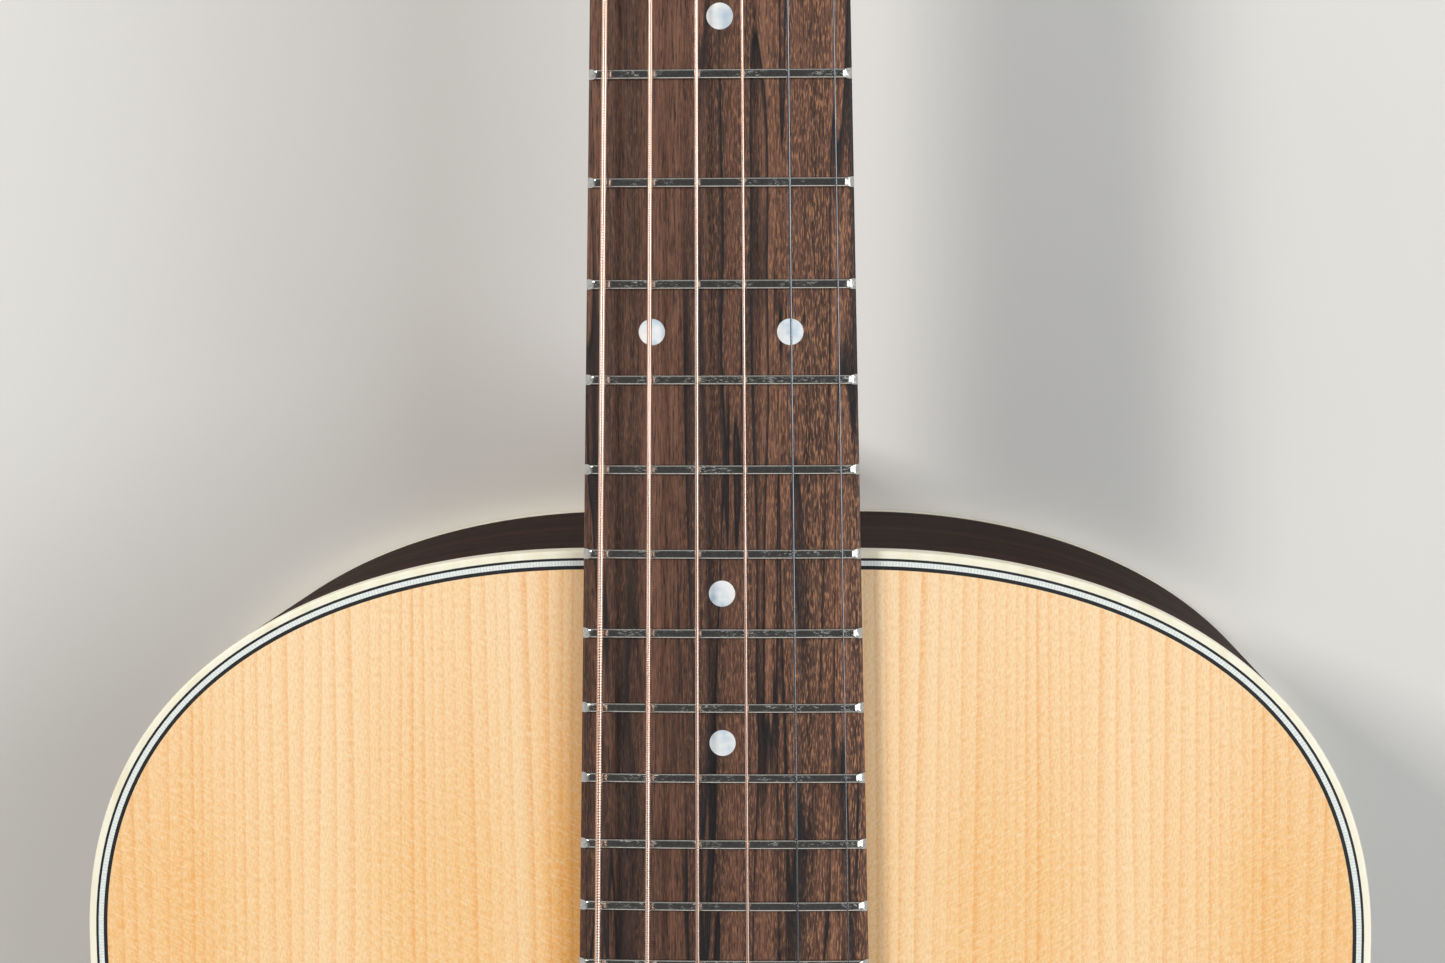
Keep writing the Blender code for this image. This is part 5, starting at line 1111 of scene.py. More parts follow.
# %% Carve the headstock
HEADSTOCK_ANGLE = radians(15)
HEAD_LENGTH, HEAD_THICKNESS = 176 * MM, 15 * MM
HEAD_LOW, HEAD_TIP = 31 * MM, 36 * MM
HEAD_FLARE, HEAD_CROWN, HEAD_ROUND = 30 * MM, 5 * MM, 0.8 * MM
BLEND_START, CROWN_POWER = 0.25, 8
head_in_guitar = Matrix.Translation((0, NUT_LENGTH + 3 * GAP, 0)) @ Matrix.Rotation(-HEADSTOCK_ANGLE, 4, "X")
headstock = guitar @ head_in_guitar


def head_half(y):
    """Half width of the headstock up its face."""
    if y < HEAD_FLARE:
        return mix(NUT_WIDTH / 2, HEAD_LOW, 0.5 - 0.5 * cos(pi * max(0, y) / HEAD_FLARE))
    return mix(HEAD_LOW, HEAD_TIP, (y - HEAD_FLARE) / (HEAD_LENGTH - HEAD_FLARE))


def slab_half(depth, half):
    """Half width of a slab with rounded edges."""
    near = min(depth, HEAD_THICKNESS - depth, HEAD_ROUND)
    return half - HEAD_ROUND + sqrt(HEAD_ROUND**2 - (HEAD_ROUND - near) ** 2)


for up in [*np.linspace(0, HEAD_FLARE, 16), *np.linspace(HEAD_FLARE, HEAD_LENGTH, 24)[1:]]:
    square = ease(mix(BLEND_START, 1, up / HEAD_FLARE))
    half = head_half(up)
    right = []
    for depth in depths(HEAD_THICKNESS):
        oval = half * sqrt(max(0, 1 - (depth / HEAD_THICKNESS) ** 2))
        wide = mix(oval, slab_half(depth, half), square)
        crown = (up / HEAD_LENGTH) ** CROWN_POWER * HEAD_CROWN * (wide / half) ** 2
        right.append(head_in_guitar @ Vector((wide, up - crown, -depth)))
    neck_rings.append(both_sides(right))
print("whole neck:", len(neck_rings), "sections")

# %% [markdown]
# ## Post holes, veneer and heel cap
# Six stepped holes take the tuner posts and their bushings. A Boolean modifier cuts them, all six with one
# tool. The face of the headstock is a thin veneer, so the faces near it get the veneer's finish. A cap
# closes the heel.

# %% Bore the headstock
VENEER = 1.6 * MM
POST_EDGE = 9.5 * MM
POST_X = HEAD_LOW - POST_EDGE
POST_ROWS = (38 * MM, 81 * MM, 124 * MM)
POST_BORE, BUSHING_BORE = 3.9 * MM, 5 * MM
BORE_LOW, BORE_STEP, BORE_HIGH = -17 * MM, -8.3 * MM, 2 * MM
CAP_ROUND, CAP_BLUNT = 0.5 * MM, 0.9
# Number, side, x and y of each tuner: up the treble side, then down the bass side.
tuners = sorted((number, sign, sign * POST_X, y) for row, y in enumerate(POST_ROWS)
                for number, sign in ((row + 1, 1), (6 - row, -1)))


def carved(shape, tool, angle=35):
    """Mesh of a shape after a tool has cut it."""
    target, cutter = new_object("carving", solid(shape, angle)), new_object("tool", solid(tool))
    cut = target.modifiers.new("cut", "BOOLEAN")
    cut.object = cutter
    cut.solver = "EXACT"
    mesh = as_mesh(target)
    bpy.data.objects.remove(cutter)
    return smooth(mesh, angle)


bore = turned([(POST_BORE, BORE_LOW), (POST_BORE, BORE_STEP), (BUSHING_BORE, BORE_STEP),
               (BUSHING_BORE, BORE_HIGH)])
bores = together(moved(bore, head_in_guitar @ Matrix.Translation((x, y, 0))) for _, _, x, y in tuners)
neck = dress("neck_carved", carved(skin(neck_rings), bores, 50), mahogany, "mahogany", "neck")
neck.data.materials.append(rosewood_veneer)
to_head = head_in_guitar.inverted()
for face in neck.data.polygons:
    spot = to_head @ Vector(face.center)
    if spot.y > 1 * MM and spot.z > -VENEER:
        face.material_index = 1
rim = [(CAP_HALF * cos(a), HEEL_FACE + CAP_LENGTH * sin(a) ** CAP_BLUNT)
       for a in np.linspace(0, pi, 33)]
cap = plate([rim], CAP_LOW, CAP_LOW + CAP_THICKNESS, CAP_ROUND)
dress("heel_end_cap", cap, ivory, "ivory_plastic", "heel_cap")
print("neck:", size(neck), "mm,", len(tuners), "bores")

# %% [markdown]
# ## Nut
# A bar of bone between the fretboard and the headstock, sloping down behind its crest. The bar is a skin
# over sections along its length, and one cut with six blocks makes the slots, each a little wider than its
# string.

# %% Shape the nut
GAUGES = (0.30 * MM, 0.41 * MM, 0.61 * MM, 0.81 * MM, 1.07 * MM, 1.35 * MM)
THICKEST = GAUGES[-1]
ACTION_AT_NUT, ACTION_AT_OCTAVE = 0.5 * MM, 2.3 * MM
NUT_SPREAD, SADDLE_SPREAD = 19 * MM, 28.5 * MM
SLOT_PLAY, SLOT_DEPTH = 0.08 * MM, 0.9 * MM
# Places from the front and from the rear of the nut, and heights from its crest there, in millimetres.
NUT_FRONT, NUT_REAR = ((0, -0.4), (0.4, 0), (1.6, -0.1)), ((-0.5, 0), (0, -0.6))
ABOVE_ALL = 20 * MM


def string_low(x, y):
    """Height of a string's underside: it rises from the nut to the saddle."""
    return board_top(x) + CROWN_HEIGHT + mix(ACTION_AT_NUT, ACTION_AT_OCTAVE, -y / (SCALE_LENGTH / 2))


def string_x(number, spread):
    """x of a string, from the treble side to the bass side."""
    return mix(spread, -spread, (number - 1) / 5)


def block(low, high):
    """Shape of a box between two corners."""
    return skin([[(low[0], low[1], z), (high[0], low[1], z), (high[0], high[1], z), (low[0], high[1], z)]
                 for z in (low[2], high[2])])


rings = []
for x in np.linspace(-NUT_WIDTH / 2, NUT_WIDTH / 2, 25):
    crest = string_low(x, 0) + THICKEST / 2
    profile = [(0, 0)] + [(y * MM, crest + z * MM) for y, z in NUT_FRONT]
    profile += [(NUT_LENGTH + y * MM, crest - THICKEST + z * MM) for y, z in NUT_REAR] + [(NUT_LENGTH, 0)]
    rings.append([(x, GAP + y, z) for y, z in profile])
slots = []
for number, gauge in enumerate(GAUGES, 1):
    x, wide = string_x(number, NUT_SPREAD), gauge / 2 + SLOT_PLAY
    low = (x - wide, -NUT_LENGTH, string_low(x, 0) - SLOT_DEPTH)
    slots.append(block(low, (x + wide, 3 * NUT_LENGTH, ABOVE_ALL)))
nut = dress("bone_nut", carved(skin(rings), together(slots)), bone, "bone", "nut")
print("nut:", size(nut), "mm")

# %% [markdown]
# ## Bridge
# The bridge is carved from the same wood as the fretboard, with its grain across the guitar. Its middle is
# thick and holds the slanted saddle and six holes, its wings are thin, and its rear edge swells in a belly.
# A skin over sections from wing to wing follows all that, and two cuts make the holes and the slots for the
# strings.

# %% Carve the bridge
BRIDGE_HALF, BRIDGE_BLOCK = 76 * MM, 42 * MM
BRIDGE_WING = mix(BRIDGE_BLOCK, BRIDGE_HALF, 0.35)
BRIDGE_TOP, WING_TOP = GAP + 8 * MM, 3.2 * MM
BRIDGE_FRONT, BRIDGE_REAR, BELLY = 9.5 * MM, 19.5 * MM, 6.5 * MM
TIP_LENGTH, TIP_DRAW = 4 * MM, 3.5 * MM
EDGE_ROUND = 1.2 * MM
SLANT = 0.053
SEAT_HALF, SEAT_WIDTH, SEAT_DEPTH = 36.3 * MM, 1.65 * MM, 5 * MM
PIN_HOLE, PIN_SHIFT = 2.5 * MM, 0.4 * MM
STRING_SLOT, SLOT_REACH = 1.1 * MM, 6 * MM
saddle_place = Matrix.Translation((0, SADDLE_Y, 0)) @ Matrix.Rotation(atan(SLANT), 4, "Z")
quarter = arc(EDGE_ROUND, EDGE_ROUND, 180, 270, 5, EDGE_ROUND)
rings = []
for x in np.linspace(-BRIDGE_HALF, BRIDGE_HALF, 77):
    tall = mix(BRIDGE_TOP, WING_TOP, ease((abs(x) - BRIDGE_BLOCK) / (BRIDGE_WING - BRIDGE_BLOCK)))
    belly = BELLY * (0.5 + 0.5 * cos(pi * min(1, abs(x) / BRIDGE_WING)))
    draw = TIP_DRAW * max(0, (abs(x) - BRIDGE_HALF + TIP_LENGTH) / TIP_LENGTH) ** 2
    front, rear = SADDLE_Y + BRIDGE_FRONT - draw, SADDLE_Y - BRIDGE_REAR - belly + draw
    ring = [(x, front, 0)] + [(x, front - back, tall - down) for back, down in quarter]
    rings.append(ring + [(x, rear + back, tall - down) for back, down in reversed(quarter)] + [(x, rear, 0)])
seat = block((-SEAT_HALF, -SEAT_WIDTH, BRIDGE_TOP - SEAT_DEPTH), (SEAT_HALF, SEAT_WIDTH, ABOVE_ALL))
cuts, slots = [moved(seat, saddle_place)], []
for number in range(1, 7):
    x = string_x(number, SADDLE_SPREAD)
    hole = turned([(PIN_HOLE, -MM), (PIN_HOLE, ABOVE_ALL)], 24)
    cuts.append(moved(hole, Matrix.Translation((x, PIN_Y - PIN_SHIFT, 0))))
    slots.append(block((x - STRING_SLOT, PIN_Y, -MM), (x + STRING_SLOT, PIN_Y + SLOT_REACH, ABOVE_ALL)))
bridge = carved(carved(skin(rings), together(cuts), 40), together(slots), 40)
bridge = dress("carved_bridge", bridge, bridge_wood, "fretboard_wood", "bridge")
print("bridge:", size(bridge), "mm")

# %% [markdown]
# ## Saddle and pins
# The saddle is a slanted bar of bone with a rounded crest that follows the strings' heights. The pins are
# turned, as on a lathe, from a short profile, and each head has a small black eye let into it.

# %% Shape the saddle and turn the pins
SADDLE_HALF, SADDLE_FOOT = 36 * MM, BRIDGE_TOP - 4.7 * MM
SADDLE_END, SADDLE_FALL = 3 * MM, 0.8 * MM
# Sideways places, and heights from the crest, in millimetres.
SADDLE_CREST = ((-1.35, -0.9), (-0.95, -0.3), (0, 0), (0.95, -0.3), (1.35, -0.9))
PIN_HEAD = 3.7 * MM
# Radius and height as shares of the head's radius.
PIN = ((0, 1.22), (0.3, 1.2), (0.58, 1.1), (0.82, 0.92), (0.97, 0.68), (1, 0.5), (0.95, 0.28), (0.84, 0.08),
       (0.8, 0))
PIN_SHANK = [(2.2 * MM, 0), (1.8 * MM, -20 * MM), (0.4 * MM, -20.6 * MM)]
EYE = [(1.15 * MM, 1.12 * PIN_HEAD), (1.1 * MM, 1.245 * PIN_HEAD + GAP), (0, 1.25 * PIN_HEAD + GAP)]
rings = []
for x in np.linspace(-SADDLE_HALF, SADDLE_HALF, 33):
    fall = SADDLE_FALL * max(0, abs(x) - SADDLE_HALF + SADDLE_END) / SADDLE_END
    top = string_low(x, SADDLE_Y) - GAP - fall
    crest = [(w * MM, top + h * MM) for w, h in SADDLE_CREST]
    ring = [(crest[0][0], SADDLE_FOOT), *crest, (crest[-1][0], SADDLE_FOOT)]
    rings.append([saddle_place @ Vector((x, w, z)) for w, z in ring])
saddle = dress("bone_saddle", skin(rings), bone, "bone", "saddle", angle=45)
pin = turned([(r * PIN_HEAD, z * PIN_HEAD + GAP) for r, z in PIN] + PIN_SHANK)
for number in range(1, 7):
    place = guitar @ Matrix.Translation((string_x(number, SADDLE_SPREAD), PIN_Y - PIN_SHIFT, BRIDGE_TOP))
    dress(f"bone_pin_{number}", pin, bone, "bone", f"bridge_pin_{number}", at=place)
    dress(f"pin_eye_{number}", turned(EYE, 24), black_fibre, "fretboard_wood", at=place)
print("saddle:", size(saddle), "mm")

# %% [markdown]
# ## End pin
# The end pin is turned from dark wood and pushed into the tail block, to hold a strap. A lathe's profile is
# all it needs: pairs of radius and height, as shares of the head's radius and of how far it stands out.

# %% Turn the end pin
END_PROUD, END_HEAD = 13 * MM, 7.5 * MM
END_PIN = ((0, 1), (0.45, 0.995), (0.75, 0.96), (0.93, 0.9), (1, 0.8), (0.92, 0.7), (0.68, 0.58), (0.6, 0.48),
           (0.62, 0.35), (0.75, 0.2), (0.95, 0.08), (1, 0.02))
END_SHANK = [(4 * MM, 0.02 * END_PROUD), (3.2 * MM, -18 * MM)]
profile = [(r * END_HEAD, z * END_PROUD) for r, z in END_PIN] + END_SHANK
tail = Matrix.Translation((0, BODY_EDGE - BODY_LENGTH, -DEPTH_AT_TAIL / 2))
place = guitar @ tail @ Matrix.Rotation(pi / 2, 4, "X")
end_pin = dress("turned_end_pin", turned(profile, 40), bridge_wood, "fretboard_wood", "end_pin", at=place)
print("end pin:", size(end_pin), "mm")

# %% [markdown]
# ## Pickguard
# A thin teardrop of tortoise celluloid is stuck beside the sound hole, where a plectrum would wear the
# spruce. Its inner edge is an arc round the hole, and three cubics close the loop, which a 2D curve fills.

# %% Cut the pickguard
GUARD_INNER = HOLE_RADIUS + 13 * MM
GUARD_WIDTH, GUARD_FOOT_Y = 43.2 * MM, SADDLE_Y + 19.5 * MM
GUARD_LOW, GUARD_HIGH, GUARD_ROUND = 0.02 * MM, 1.5 * MM, 0.4 * MM
GUARD_START, GUARD_END = 32, -68
GUARD_BROADEST, GUARD_FOOT, GUARD_FOOT_OUT = 0.67, 0.75, 18 * MM
SHORT_BEND, LONG_BEND, FOOT_BEND = 20 * MM, 45 * MM, 30 * MM
inner = arc(0, HOLE_Y, GUARD_START, GUARD_END, 40, GUARD_INNER)
(top_x, top_y), (low_x, low_y) = inner[0], inner[-1]
out_x, out_y = GUARD_INNER + GUARD_WIDTH, mix(HOLE_Y, GUARD_FOOT_Y, GUARD_BROADEST)
foot_x, foot_y = GUARD_INNER * GUARD_FOOT + GUARD_FOOT_OUT, GUARD_FOOT_Y
loop = inner[:-1]
for bend in (
    ((low_x, low_y), (low_x, low_y - SHORT_BEND), (foot_x - FOOT_BEND, foot_y), (foot_x, foot_y)),
    ((foot_x, foot_y), (foot_x + FOOT_BEND, foot_y), (out_x, out_y - SHORT_BEND), (out_x, out_y)),
    ((out_x, out_y), (out_x, out_y + LONG_BEND), (top_x + SHORT_BEND, top_y - SHORT_BEND), (top_x, top_y)),
):
    loop += curve_points(*bend, 18)[:, :2].tolist()
guard = plate([loop], GUARD_LOW, GUARD_HIGH, GUARD_ROUND)
guard = dress("pick_guard", guard, tortoise, "tortoise_plastic", "pickguard")
print("pickguard:", size(guard), "mm")

# %% [markdown]
# ## Worm drive
# Each tuner is a worm drive: turning the key's worm moves one tooth of the wheel at a time, and the wheel
# turns the post. Fourteen turns of the key make one of the post. The sizes could be read off the solids one
# by one, but the wheel's radius and the distance to the worm follow from the worm's pitch and the number of
# teeth, so that the parts mesh.

# %% Size the worm drive
WORM_PITCH, WHEEL_TEETH = 2.2 * MM, 14
WHEEL_RADIUS, WORM_RADIUS = WHEEL_TEETH * WORM_PITCH / (2 * pi), 2.35 * MM
DRIVE = WHEEL_RADIUS + WORM_RADIUS
TOOTH = 0.5 * MM
WORM_OUTER, WORM_ROOT, WORM_HALF = WORM_RADIUS + TOOTH, WORM_RADIUS - TOOTH - GAP, 3.3 * MM
PLATE_THICKNESS = 1.2 * MM
KEY_DEPTH = HEAD_THICKNESS + PLATE_THICKNESS + WORM_OUTER + 4 * GAP
print("worm and post are", round(DRIVE / MM, 2), "mm apart")

# %% [markdown]
# ## Tuner plates
# Two plates on the back of the headstock carry three tuners each, with ears bent up to hold the worms. They
# are screwed on. Each plate is a filled curve with holes, its ears are drilled blocks with a round tip, and
# each screw's slot is a cut at an angle of its own, as screws are left.

# %% Make the plates
PLATE_HALF, PLATE_END, PLATE_ROUND = 7.5 * MM, 15 * MM, 0.3 * MM
PLATE_FACE, PLATE_HOLE = -(HEAD_THICKNESS + GAP), 3.4 * MM
EAR_NEAR, EAR_THICKNESS = WORM_HALF + 3 * GAP, 1.2 * MM
EAR_HALF, EAR_TIP, EAR_ROOT = 3.5 * MM, 3.2 * MM, PLATE_FACE - 0.6 * MM
EAR_BORE, DRILL_HALF = 1.85 * MM, 9 * MM
SCREW_ROWS = (21 * MM, 56.5 * MM, 99.5 * MM, 134.2 * MM)
# Radius and height of the head, half the slot's width, and the height of the slot's floor.
PLATE_SCREW = (2.1 * MM, 1.3 * MM, 0.3 * MM, 0.75 * MM)
SCREW_TURN = 0.7
# Shares of the head's radius and of its height.
SCREW_HEAD = ((1, 0), (1, -0.35), (0.8, -0.8), (0.4, -1), (0, -1.02))


def slotted_screw(radius, height, slot_half, slot_floor, turn=0.0):
    """Round-headed screw along -Z with its seat at z = 0 and its slot at an angle."""
    head = turned([(r * radius, z * height) for r, z in SCREW_HEAD], 24)
    saw = block((-2 * radius, -slot_half, -2 * radius), (2 * radius, slot_half, -slot_floor))
    return carved(head, moved(saw, Matrix.Rotation(turn, 4, "Z")))


for side, sign in SIDES:
    x = sign * POST_X
    low, high = POST_ROWS[0] - DRIVE - PLATE_END + PLATE_HALF, POST_ROWS[-1] + PLATE_END - PLATE_HALF
    loop = arc(x, high, 0, 180, 17, PLATE_HALF) + arc(x, low, 180, 360, 17, PLATE_HALF)
    holes = [circle(x, y, PLATE_HOLE, 32) for y in POST_ROWS]
    base = plate([loop, *holes], PLATE_FACE - PLATE_THICKNESS, PLATE_FACE, PLATE_ROUND)
    base = dress(f"tuner_base_{side}", base, nickel, "nickel", f"tuner_plate_{side}", at=headstock)
    ears, drills = [], []
    for y in POST_ROWS:
        axis = y - DRIVE
        tip = arc(axis, -KEY_DEPTH, 0, -180, 17, EAR_HALF, EAR_TIP)
        ear = [(axis + EAR_HALF, EAR_ROOT), *tip, (axis - EAR_HALF, EAR_ROOT)]
        for way in (-1, 1):
            faces = (x + way * EAR_NEAR, x + way * (EAR_NEAR + EAR_THICKNESS))
            ears.append(skin([[(face, py, pz) for py, pz in ear] for face in faces]))
        along_key = Matrix.Translation((x, axis, -KEY_DEPTH)) @ Matrix.Rotation(pi / 2, 4, "Y")
        drills.append(moved(turned([(EAR_BORE, -DRILL_HALF), (EAR_BORE, DRILL_HALF)], 28), along_key))
    dress(f"ears_{side}", carved(together(ears), together(drills)), nickel, "nickel", at=headstock)
    for number, y in enumerate(SCREW_ROWS, 1):
        screw = slotted_screw(*PLATE_SCREW, SCREW_TURN * number)
        seat = headstock @ Matrix.Translation((x, y, PLATE_FACE - PLATE_THICKNESS))
        dress(f"plate_screw_{side}_{number}", screw, nickel, "nickel", at=seat)
    print(side, "plate:", size(base), "mm")

# %% [markdown]
# ## Bushings
# A flanged sleeve is pressed into each hole from the front and keeps the post upright. It is hollow, so its
# profile goes all the way round and the ring of sections closes on itself.

# %% Press in the bushings
# Radius and height in millimetres.
BUSHING = ((3.3, 1.9), (4.6, 1.9), (5.3, 1.75), (5.8, 1.3), (6, 0.6), (6, 0.05), (4.7, 0.05), (4.7, -8),
           (3.3, -8))
sleeve = spun([(r * MM, z * MM) for r, z in BUSHING], 40)
for number, _, x, y in tuners:
    seat = headstock @ Matrix.Translation((x, y, 0))
    bushing = dress(f"ferrule_{number}", sleeve, nickel, "nickel", f"post_bushing_{number}", at=seat)
print("bushing:", size(bushing), "mm")

# %% [markdown]
# ## Posts and wheels
# The post is waisted so that the string winds neatly, and its foot carries the toothed wheel and the
# wheel's screw. The wheel's teeth are slanted by the worm's lead, so its sections turn a little from face
# to face.

# %% Turn the posts and cut the wheels
POST, POST_TALL = 3.0 * MM, 15 * MM
# Shares of the post's radius and of its height.
POST_PROFILE = ((0, 1), (0.55, 1), (0.85, 0.985), (1, 0.95), (1, 0.9), (0.93, 0.8), (0.87, 0.7), (0.86, 0.55),
                (0.87, 0.42), (0.93, 0.33), (1, 0.25))
STRING_HOLE, HOLE_HALF, HOLE_HEIGHT = 0.9 * MM, 8 * MM, 0.8 * POST_TALL
WHEEL_HALF, WHEEL_CHAMFER = 1.2 * MM, 0.25 * MM
WHEEL_BORE, DRILL_REACH = 1.9 * MM, 3 * MM
FOOT, FOOT_LENGTH = 0.6 * POST, 2.5 * MM
# Shares of a tooth's spacing round the wheel and of its height, over one tooth.
TOOTH_FLANK = ((-0.25, 0), (-0.18, 0.5), (-0.11, 1), (0.11, 1), (0.18, 0.5), (0.25, 0))
wheel_top = WHEEL_HALF - KEY_DEPTH
post = turned([(r * POST, z * POST_TALL) for r, z in POST_PROFILE]
              + [(POST, wheel_top + GAP), (FOOT, wheel_top + GAP), (FOOT, wheel_top - FOOT_LENGTH)], 40)
through = Matrix.Translation((0, 0, HOLE_HEIGHT)) @ Matrix.Rotation(pi / 2, 4, "X")
string_hole = moved(turned([(STRING_HOLE, -HOLE_HALF), (STRING_HOLE, HOLE_HALF)], 16), through)
wheel_bore = turned([(WHEEL_BORE, -DRILL_REACH), (WHEEL_BORE, DRILL_REACH)], 28)


def wheel():
    """Wheel of slanted teeth round a flat disc, one tooth pointing at the worm."""
    outer, root = WHEEL_RADIUS + TOOTH, WHEEL_RADIUS - TOOTH - GAP
    lead = WORM_PITCH / (2 * pi * WORM_RADIUS)
    rings = []
    for z, largest in ((-WHEEL_HALF, outer - WHEEL_CHAMFER), (WHEEL_CHAMFER - WHEEL_HALF, outer),
                       (WHEEL_HALF - WHEEL_CHAMFER, outer), (WHEEL_HALF, outer - WHEEL_CHAMFER)):
        ring = []
        for tooth in range(WHEEL_TEETH):
            for share, height in TOOTH_FLANK:
                angle = 2 * pi * (tooth + share) / WHEEL_TEETH - pi / 2 + lead * z / WHEEL_RADIUS
                r = min(mix(root, outer, height), largest)
                ring.append((r * cos(angle), r * sin(angle), z))
        rings.append(ring)
    return skin(rings)


print("post:", round(POST_TALL / MM, 1), "mm above the face, wheel:", WHEEL_TEETH, "teeth")

# %% [markdown]
# ## Fitting posts and wheels
# Post, wheel and screw ride on the post's body, so they turn together. Each tuner gets meshes of its own,
# because a shared mesh would be a single piece to whoever repaints or takes apart the guitar.

# %% Fit the posts and wheels
WHEEL_SCREW = (2.9 * MM, 1.6 * MM, 0.35 * MM, 0.9 * MM)
for number, _, x, y in tuners:
    body = f"post_{number}"
    at_post = headstock @ Matrix.Translation((x, y, 0))
    at_wheel = at_post @ Matrix.Translation((0, 0, -KEY_DEPTH))
    at_screw = at_wheel @ Matrix.Translation((0, 0, -WHEEL_HALF))
    drilled, toothed = carved(post, string_hole), carved(wheel(), wheel_bore, 30)
    dress(f"winding_post_{number}", drilled, nickel, "nickel", f"string_post_{number}", body, at_post)
    made = dress(f"toothed_wheel_{number}", toothed, brass, "brass", f"worm_wheel_{number}", body, at_wheel)
    screw = slotted_screw(*WHEEL_SCREW)
    dress(f"wheel_screw_{number}", screw, nickel, "nickel", None, body, at_screw)
print("wheel:", size(made), "mm")

# %% [markdown]
# ## Keys
# The key is one piece: a journal, the worm between the ears, a shaft and a button with rounded ends.
# A screw modifier could make the thread alone. Here the thread is a helix in the skin itself, where the
# radius at each point depends on how far along and how far round it is, so the whole key is one closed
# piece.

# %% Make the keys
SHAFT = 1.5 * MM
KEY_CLEAR = 9.5 * MM
KEY_REACH = head_half(POST_ROWS[-1]) - POST_X + KEY_CLEAR
JOURNAL_END, JOURNAL_EDGE = -5.9 * MM, 0.2 * MM
BUTTON_LENGTH, BUTTON_WIDTH, BUTTON_THICKNESS = 16 * MM, 20 * MM, 7.2 * MM
BUTTON_SQUARE, BUTTON_BULGE = 2.3, 0.62
END_WIDE, NECK_THICK, TIP_THICK = 0.28, 0.45, 0.25
# Millimetres before the button, and half width and half thickness as shares of the shaft's radius.
COLLAR = ((4.2, 1, 1), (3.9, 1.25, 1.25), (2.2, 1.6, 1.5), (0.6, 1.75, 1.55))
CREST_HALF, FLANK = 0.09, 0.12
THREAD_FADE = 0.5 * MM
KEY_STEPS = 32


def oval(x, wide, thick, power=2.0):
    """Section of the key: an ellipse, or squarer for a higher power."""
    ring = []
    for a in turns(KEY_STEPS):
        c, s = (copysign(abs(way) ** (2 / power), way) for way in (cos(a), sin(a)))
        ring.append((x, wide * c, thick * s))
    return ring


def worm(x):
    """Section of the worm: crests half a pitch away from the wheel's middle, faded out at both ends."""
    ring = []
    for a in turns(KEY_STEPS):
        from_crest = abs((x / WORM_PITCH - a / (2 * pi)) % 1 - 0.5)
        height = 1 - min(1, max(0, (from_crest - CREST_HALF) / FLANK))
        r = mix(WORM_ROOT, WORM_OUTER, height * min(1, (WORM_HALF - abs(x)) / THREAD_FADE))
        ring.append((x, r * cos(a), r * sin(a)))
    return ring


rings = [oval(JOURNAL_END, 0.8 * SHAFT, 0.8 * SHAFT), oval(JOURNAL_END + JOURNAL_EDGE, SHAFT, SHAFT),
         oval(-WORM_HALF - GAP, SHAFT, SHAFT)]
rings += [worm(x) for x in np.linspace(-WORM_HALF, WORM_HALF, 49)]
rings.append(oval(WORM_HALF + GAP, SHAFT, SHAFT))
rings += [oval(KEY_REACH - before * MM, wide * SHAFT, thick * SHAFT) for before, wide, thick in COLLAR]
for share in np.linspace(0.02, 0.995, 22):
    bulge = sin(pi * share) ** BUTTON_BULGE
    wide = mix(END_WIDE, 1.0, bulge) * BUTTON_WIDTH / 2
    thick = mix(NECK_THICK if share < 0.5 else TIP_THICK, 1.0, bulge) * BUTTON_THICKNESS / 2
    rings.append(oval(KEY_REACH + share * BUTTON_LENGTH, wide, thick, BUTTON_SQUARE))
for number, sign, x, y in tuners:
    place = headstock @ Matrix.Translation((x, y - DRIVE, -KEY_DEPTH))
    if sign < 0:
        place = place @ Matrix.Rotation(pi, 4, "Y")
    name, node, body = f"key_and_worm_{number}", f"tuner_key_{number}", f"key_{number}"
    key = dress(name, skin(rings), nickel, "nickel", node, body, place, 40)
print("key:", size(key), "mm")

# %% [markdown]
# ## Path of a string
# Each string runs from its ball under the bridge plate, up its slot, over the saddle and the nut, and winds
# round its post. Physics could settle it, but a taut string has only straight runs and a helix, so its
# points are worked out, with a radius for each so that the ball is part of the same skin.

# %% Lay out the strings
PLATE_BOTTOM = -(TOP_THICKNESS + 2.5 * MM + GAP)
BALL, BALL_SETBACK = 2.2 * MM, 2.2 * MM
WINDING_STEPS, WINDING_TURNS, WINDING_LOW = 24, 2.5, 4.5 * MM
POST_PLAY, WINDING_PLAY = 0.15 * MM, 0.3 * MM
NUT_DROP = 0.08 * NUT_LENGTH


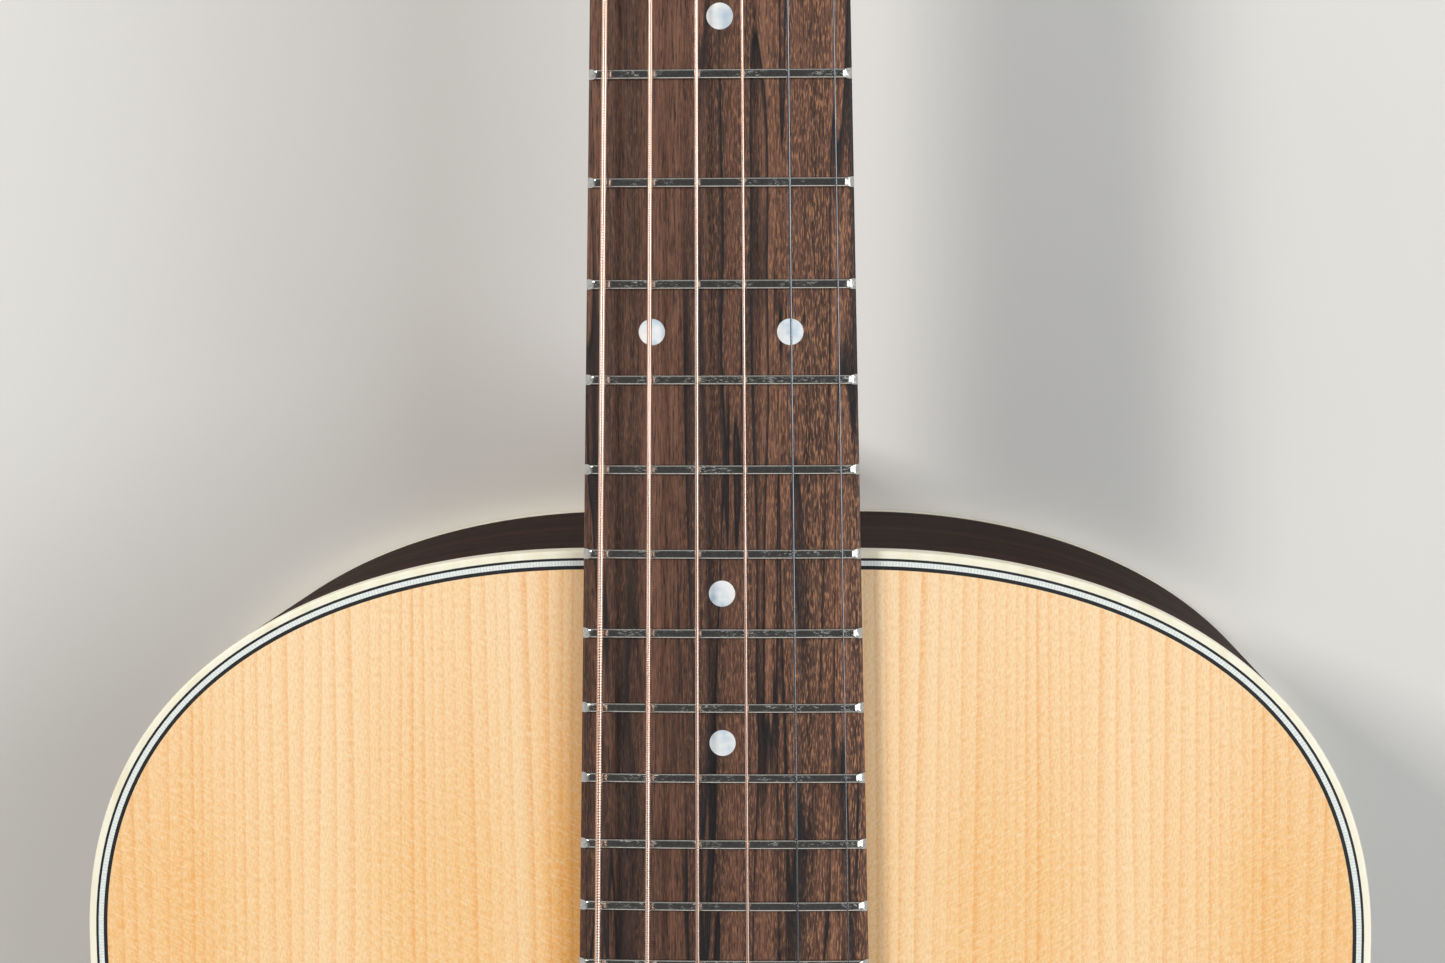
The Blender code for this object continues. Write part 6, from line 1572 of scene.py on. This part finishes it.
def string_path(number, side, x, y):
    """Points of a string, ball to post, with a radius for each."""
    gauge = GAUGES[number - 1]
    slot_x, top_x = string_x(number, SADDLE_SPREAD), string_x(number, NUT_SPREAD)
    ball_y, ball_z = PIN_Y + BALL_SETBACK + BALL, PLATE_BOTTOM - GAP - BALL
    rise_y = PIN_Y + SLOT_REACH - GAP - THICKEST / 2
    over = BRIDGE_TOP + GAP + gauge / 2
    at_nut = string_low(top_x, 0) + gauge / 2
    ball = np.linspace(-0.98, 0.98, 9)
    points = [Vector((slot_x, ball_y, ball_z + share * BALL)) for share in ball]
    points += [Vector(place) for place in (
        (slot_x, mix(ball_y, rise_y, 0.2), PLATE_BOTTOM + 2 * GAP), (slot_x, rise_y, BRIDGE_TOP - gauge),
        (slot_x, rise_y + 0.2 * gauge, over - 0.2 * gauge),
        (slot_x, rise_y + 0.8 * gauge, over + 0.5 * gauge),
        (slot_x, SADDLE_Y + SLANT * slot_x, string_low(slot_x, SADDLE_Y) + gauge / 2),
        (top_x, GAP, at_nut), (top_x, NUT_LENGTH, at_nut - NUT_DROP),
    )]
    start = to_head @ points[-1]
    radius = POST + POST_PLAY + gauge / 2
    towards = Vector((x - start.x, y - start.y))
    first = atan2(towards.y, towards.x) + side * (asin(radius / towards.length) + pi / 2)
    for turn in np.arange(int(WINDING_TURNS * WINDING_STEPS) + 1) / WINDING_STEPS:
        angle = first - side * 2 * pi * turn
        wound = Vector((x + radius * cos(angle), y + radius * sin(angle),
                        WINDING_LOW + (gauge + WINDING_PLAY) * turn))
        points.append(head_in_guitar @ wound)
    points.append(points[-1] + (points[-1] - points[-2]).normalized() * 2 * gauge)
    radii = np.full(len(points), gauge / 2)
    radii[:len(ball)] = np.maximum(gauge / 2, BALL * np.sqrt(1 - ball**2))
    return np.array(points), radii


paths = {number: string_path(number, side, x, y) for number, side, x, y in tuners}
print("string 1:", round(travelled(paths[1][0])[-1], 3), "m from ball to post")

# %% [markdown]
# ## Strings
# The two thin strings are plain steel. The four thick ones are wrapped with bronze wire. On the two
# thickest the wrap shows, so it is a real helical ridge on the surface, with a pitch coarser than the real
# wire so that it shows; on the others a bump draws it.

# %% Stretch the strings
RIDGED = {5: 0.46 * MM, 6: 0.55 * MM}
RIDGE_SAMPLES, RIDGE_DEPTH = 3, 0.11
FINE_WRAP, FINE_DEPTH = 0.3 * MM, 0.005 * MM


def tube(points, radii, around, pitch=None):
    """Skin round a path; with a pitch, a helical ridge runs along it."""
    along = travelled(points)
    spots = np.linspace(0, along[-1], int(along[-1] / pitch * RIDGE_SAMPLES)) if pitch else along
    path = np.column_stack([np.interp(spots, along, column) for column in points.T])
    reach = np.interp(spots, along, radii)[:, None]
    ahead = np.gradient(path, axis=0)
    ahead /= np.linalg.norm(ahead, axis=1)[:, None]
    out = np.zeros_like(path)
    out[0] = np.cross(ahead[0], (0, 0.6, 0.8))
    for k in range(1, len(path)):
        out[k] = out[k - 1] - ahead[k] * out[k - 1].dot(ahead[k])
        out[k] /= np.linalg.norm(out[k])
    out[0] /= np.linalg.norm(out[0])
    angles = np.array(turns(around))
    if pitch:
        phase = 2 * pi * spots[:, None] / pitch - angles
        reach = reach - RIDGE_DEPTH * (1 + np.cos(phase)) * radii.min()
    over = np.cross(ahead, out)
    outward = np.cos(angles)[:, None] * out[:, None] + np.sin(angles)[:, None] * over[:, None]
    return skin((path[:, None] + reach[:, :, None] * outward).tolist())


# Phosphor bronze, wound in fine turns: a wave dents it, coarser than the wire so that it shows.
wrapped = mottled("phosphor_bronze_wrap", BRONZE, 0.8, 25, Roughness=0.3, Metallic=1.0)
lay = add(wrapped, "SeparateXYZ", {"Vector": add(wrapped, "TexCoord", out="Object")}, out="Y")
phase = add(wrapped, "Math", {0: lay, 1: 2 * pi / FINE_WRAP}, operation="MULTIPLY")
wave = add(wrapped, "Math", {0: phase}, operation="SINE")
feed(wrapped, "Normal", add(wrapped, "Bump", {"Height": wave, "Distance": FINE_DEPTH}))
for number, (points, radii) in paths.items():
    pitch = RIDGED.get(number)
    surface, slot = (steel, "steel") if number < 3 else (bronze if pitch else wrapped, "phosphor_bronze")
    shape = tube(points, radii, 10 if pitch else 12, pitch)
    made = dress(f"stretched_string_{number}", shape, surface, slot, f"string_{number}", angle=60)
    print("string", number, "faces", len(made.data.polygons))

# %% [markdown]
# ## Solids that stay
# The blocks, the X-brace, the transverse brace, the bridge plate, the truss rod and its nut are already the
# right shapes, so they only get their finishes.

# %% Finish the solids that show as they are
KEPT = {
    "neck_block": bare_mahogany, "tail_block": bare_mahogany, "bridge_plate": bare_mahogany,
    "x_brace_bass": bare_spruce, "x_brace_treble": bare_spruce, "transverse_brace": bare_spruce_crosswise,
    "truss_rod": steel, "truss_rod_nut": brass,
}
for node, surface in KEPT.items():
    nodes[node].data.materials.clear()
    nodes[node].data.materials.append(surface)
print("solids kept:", len(KEPT))
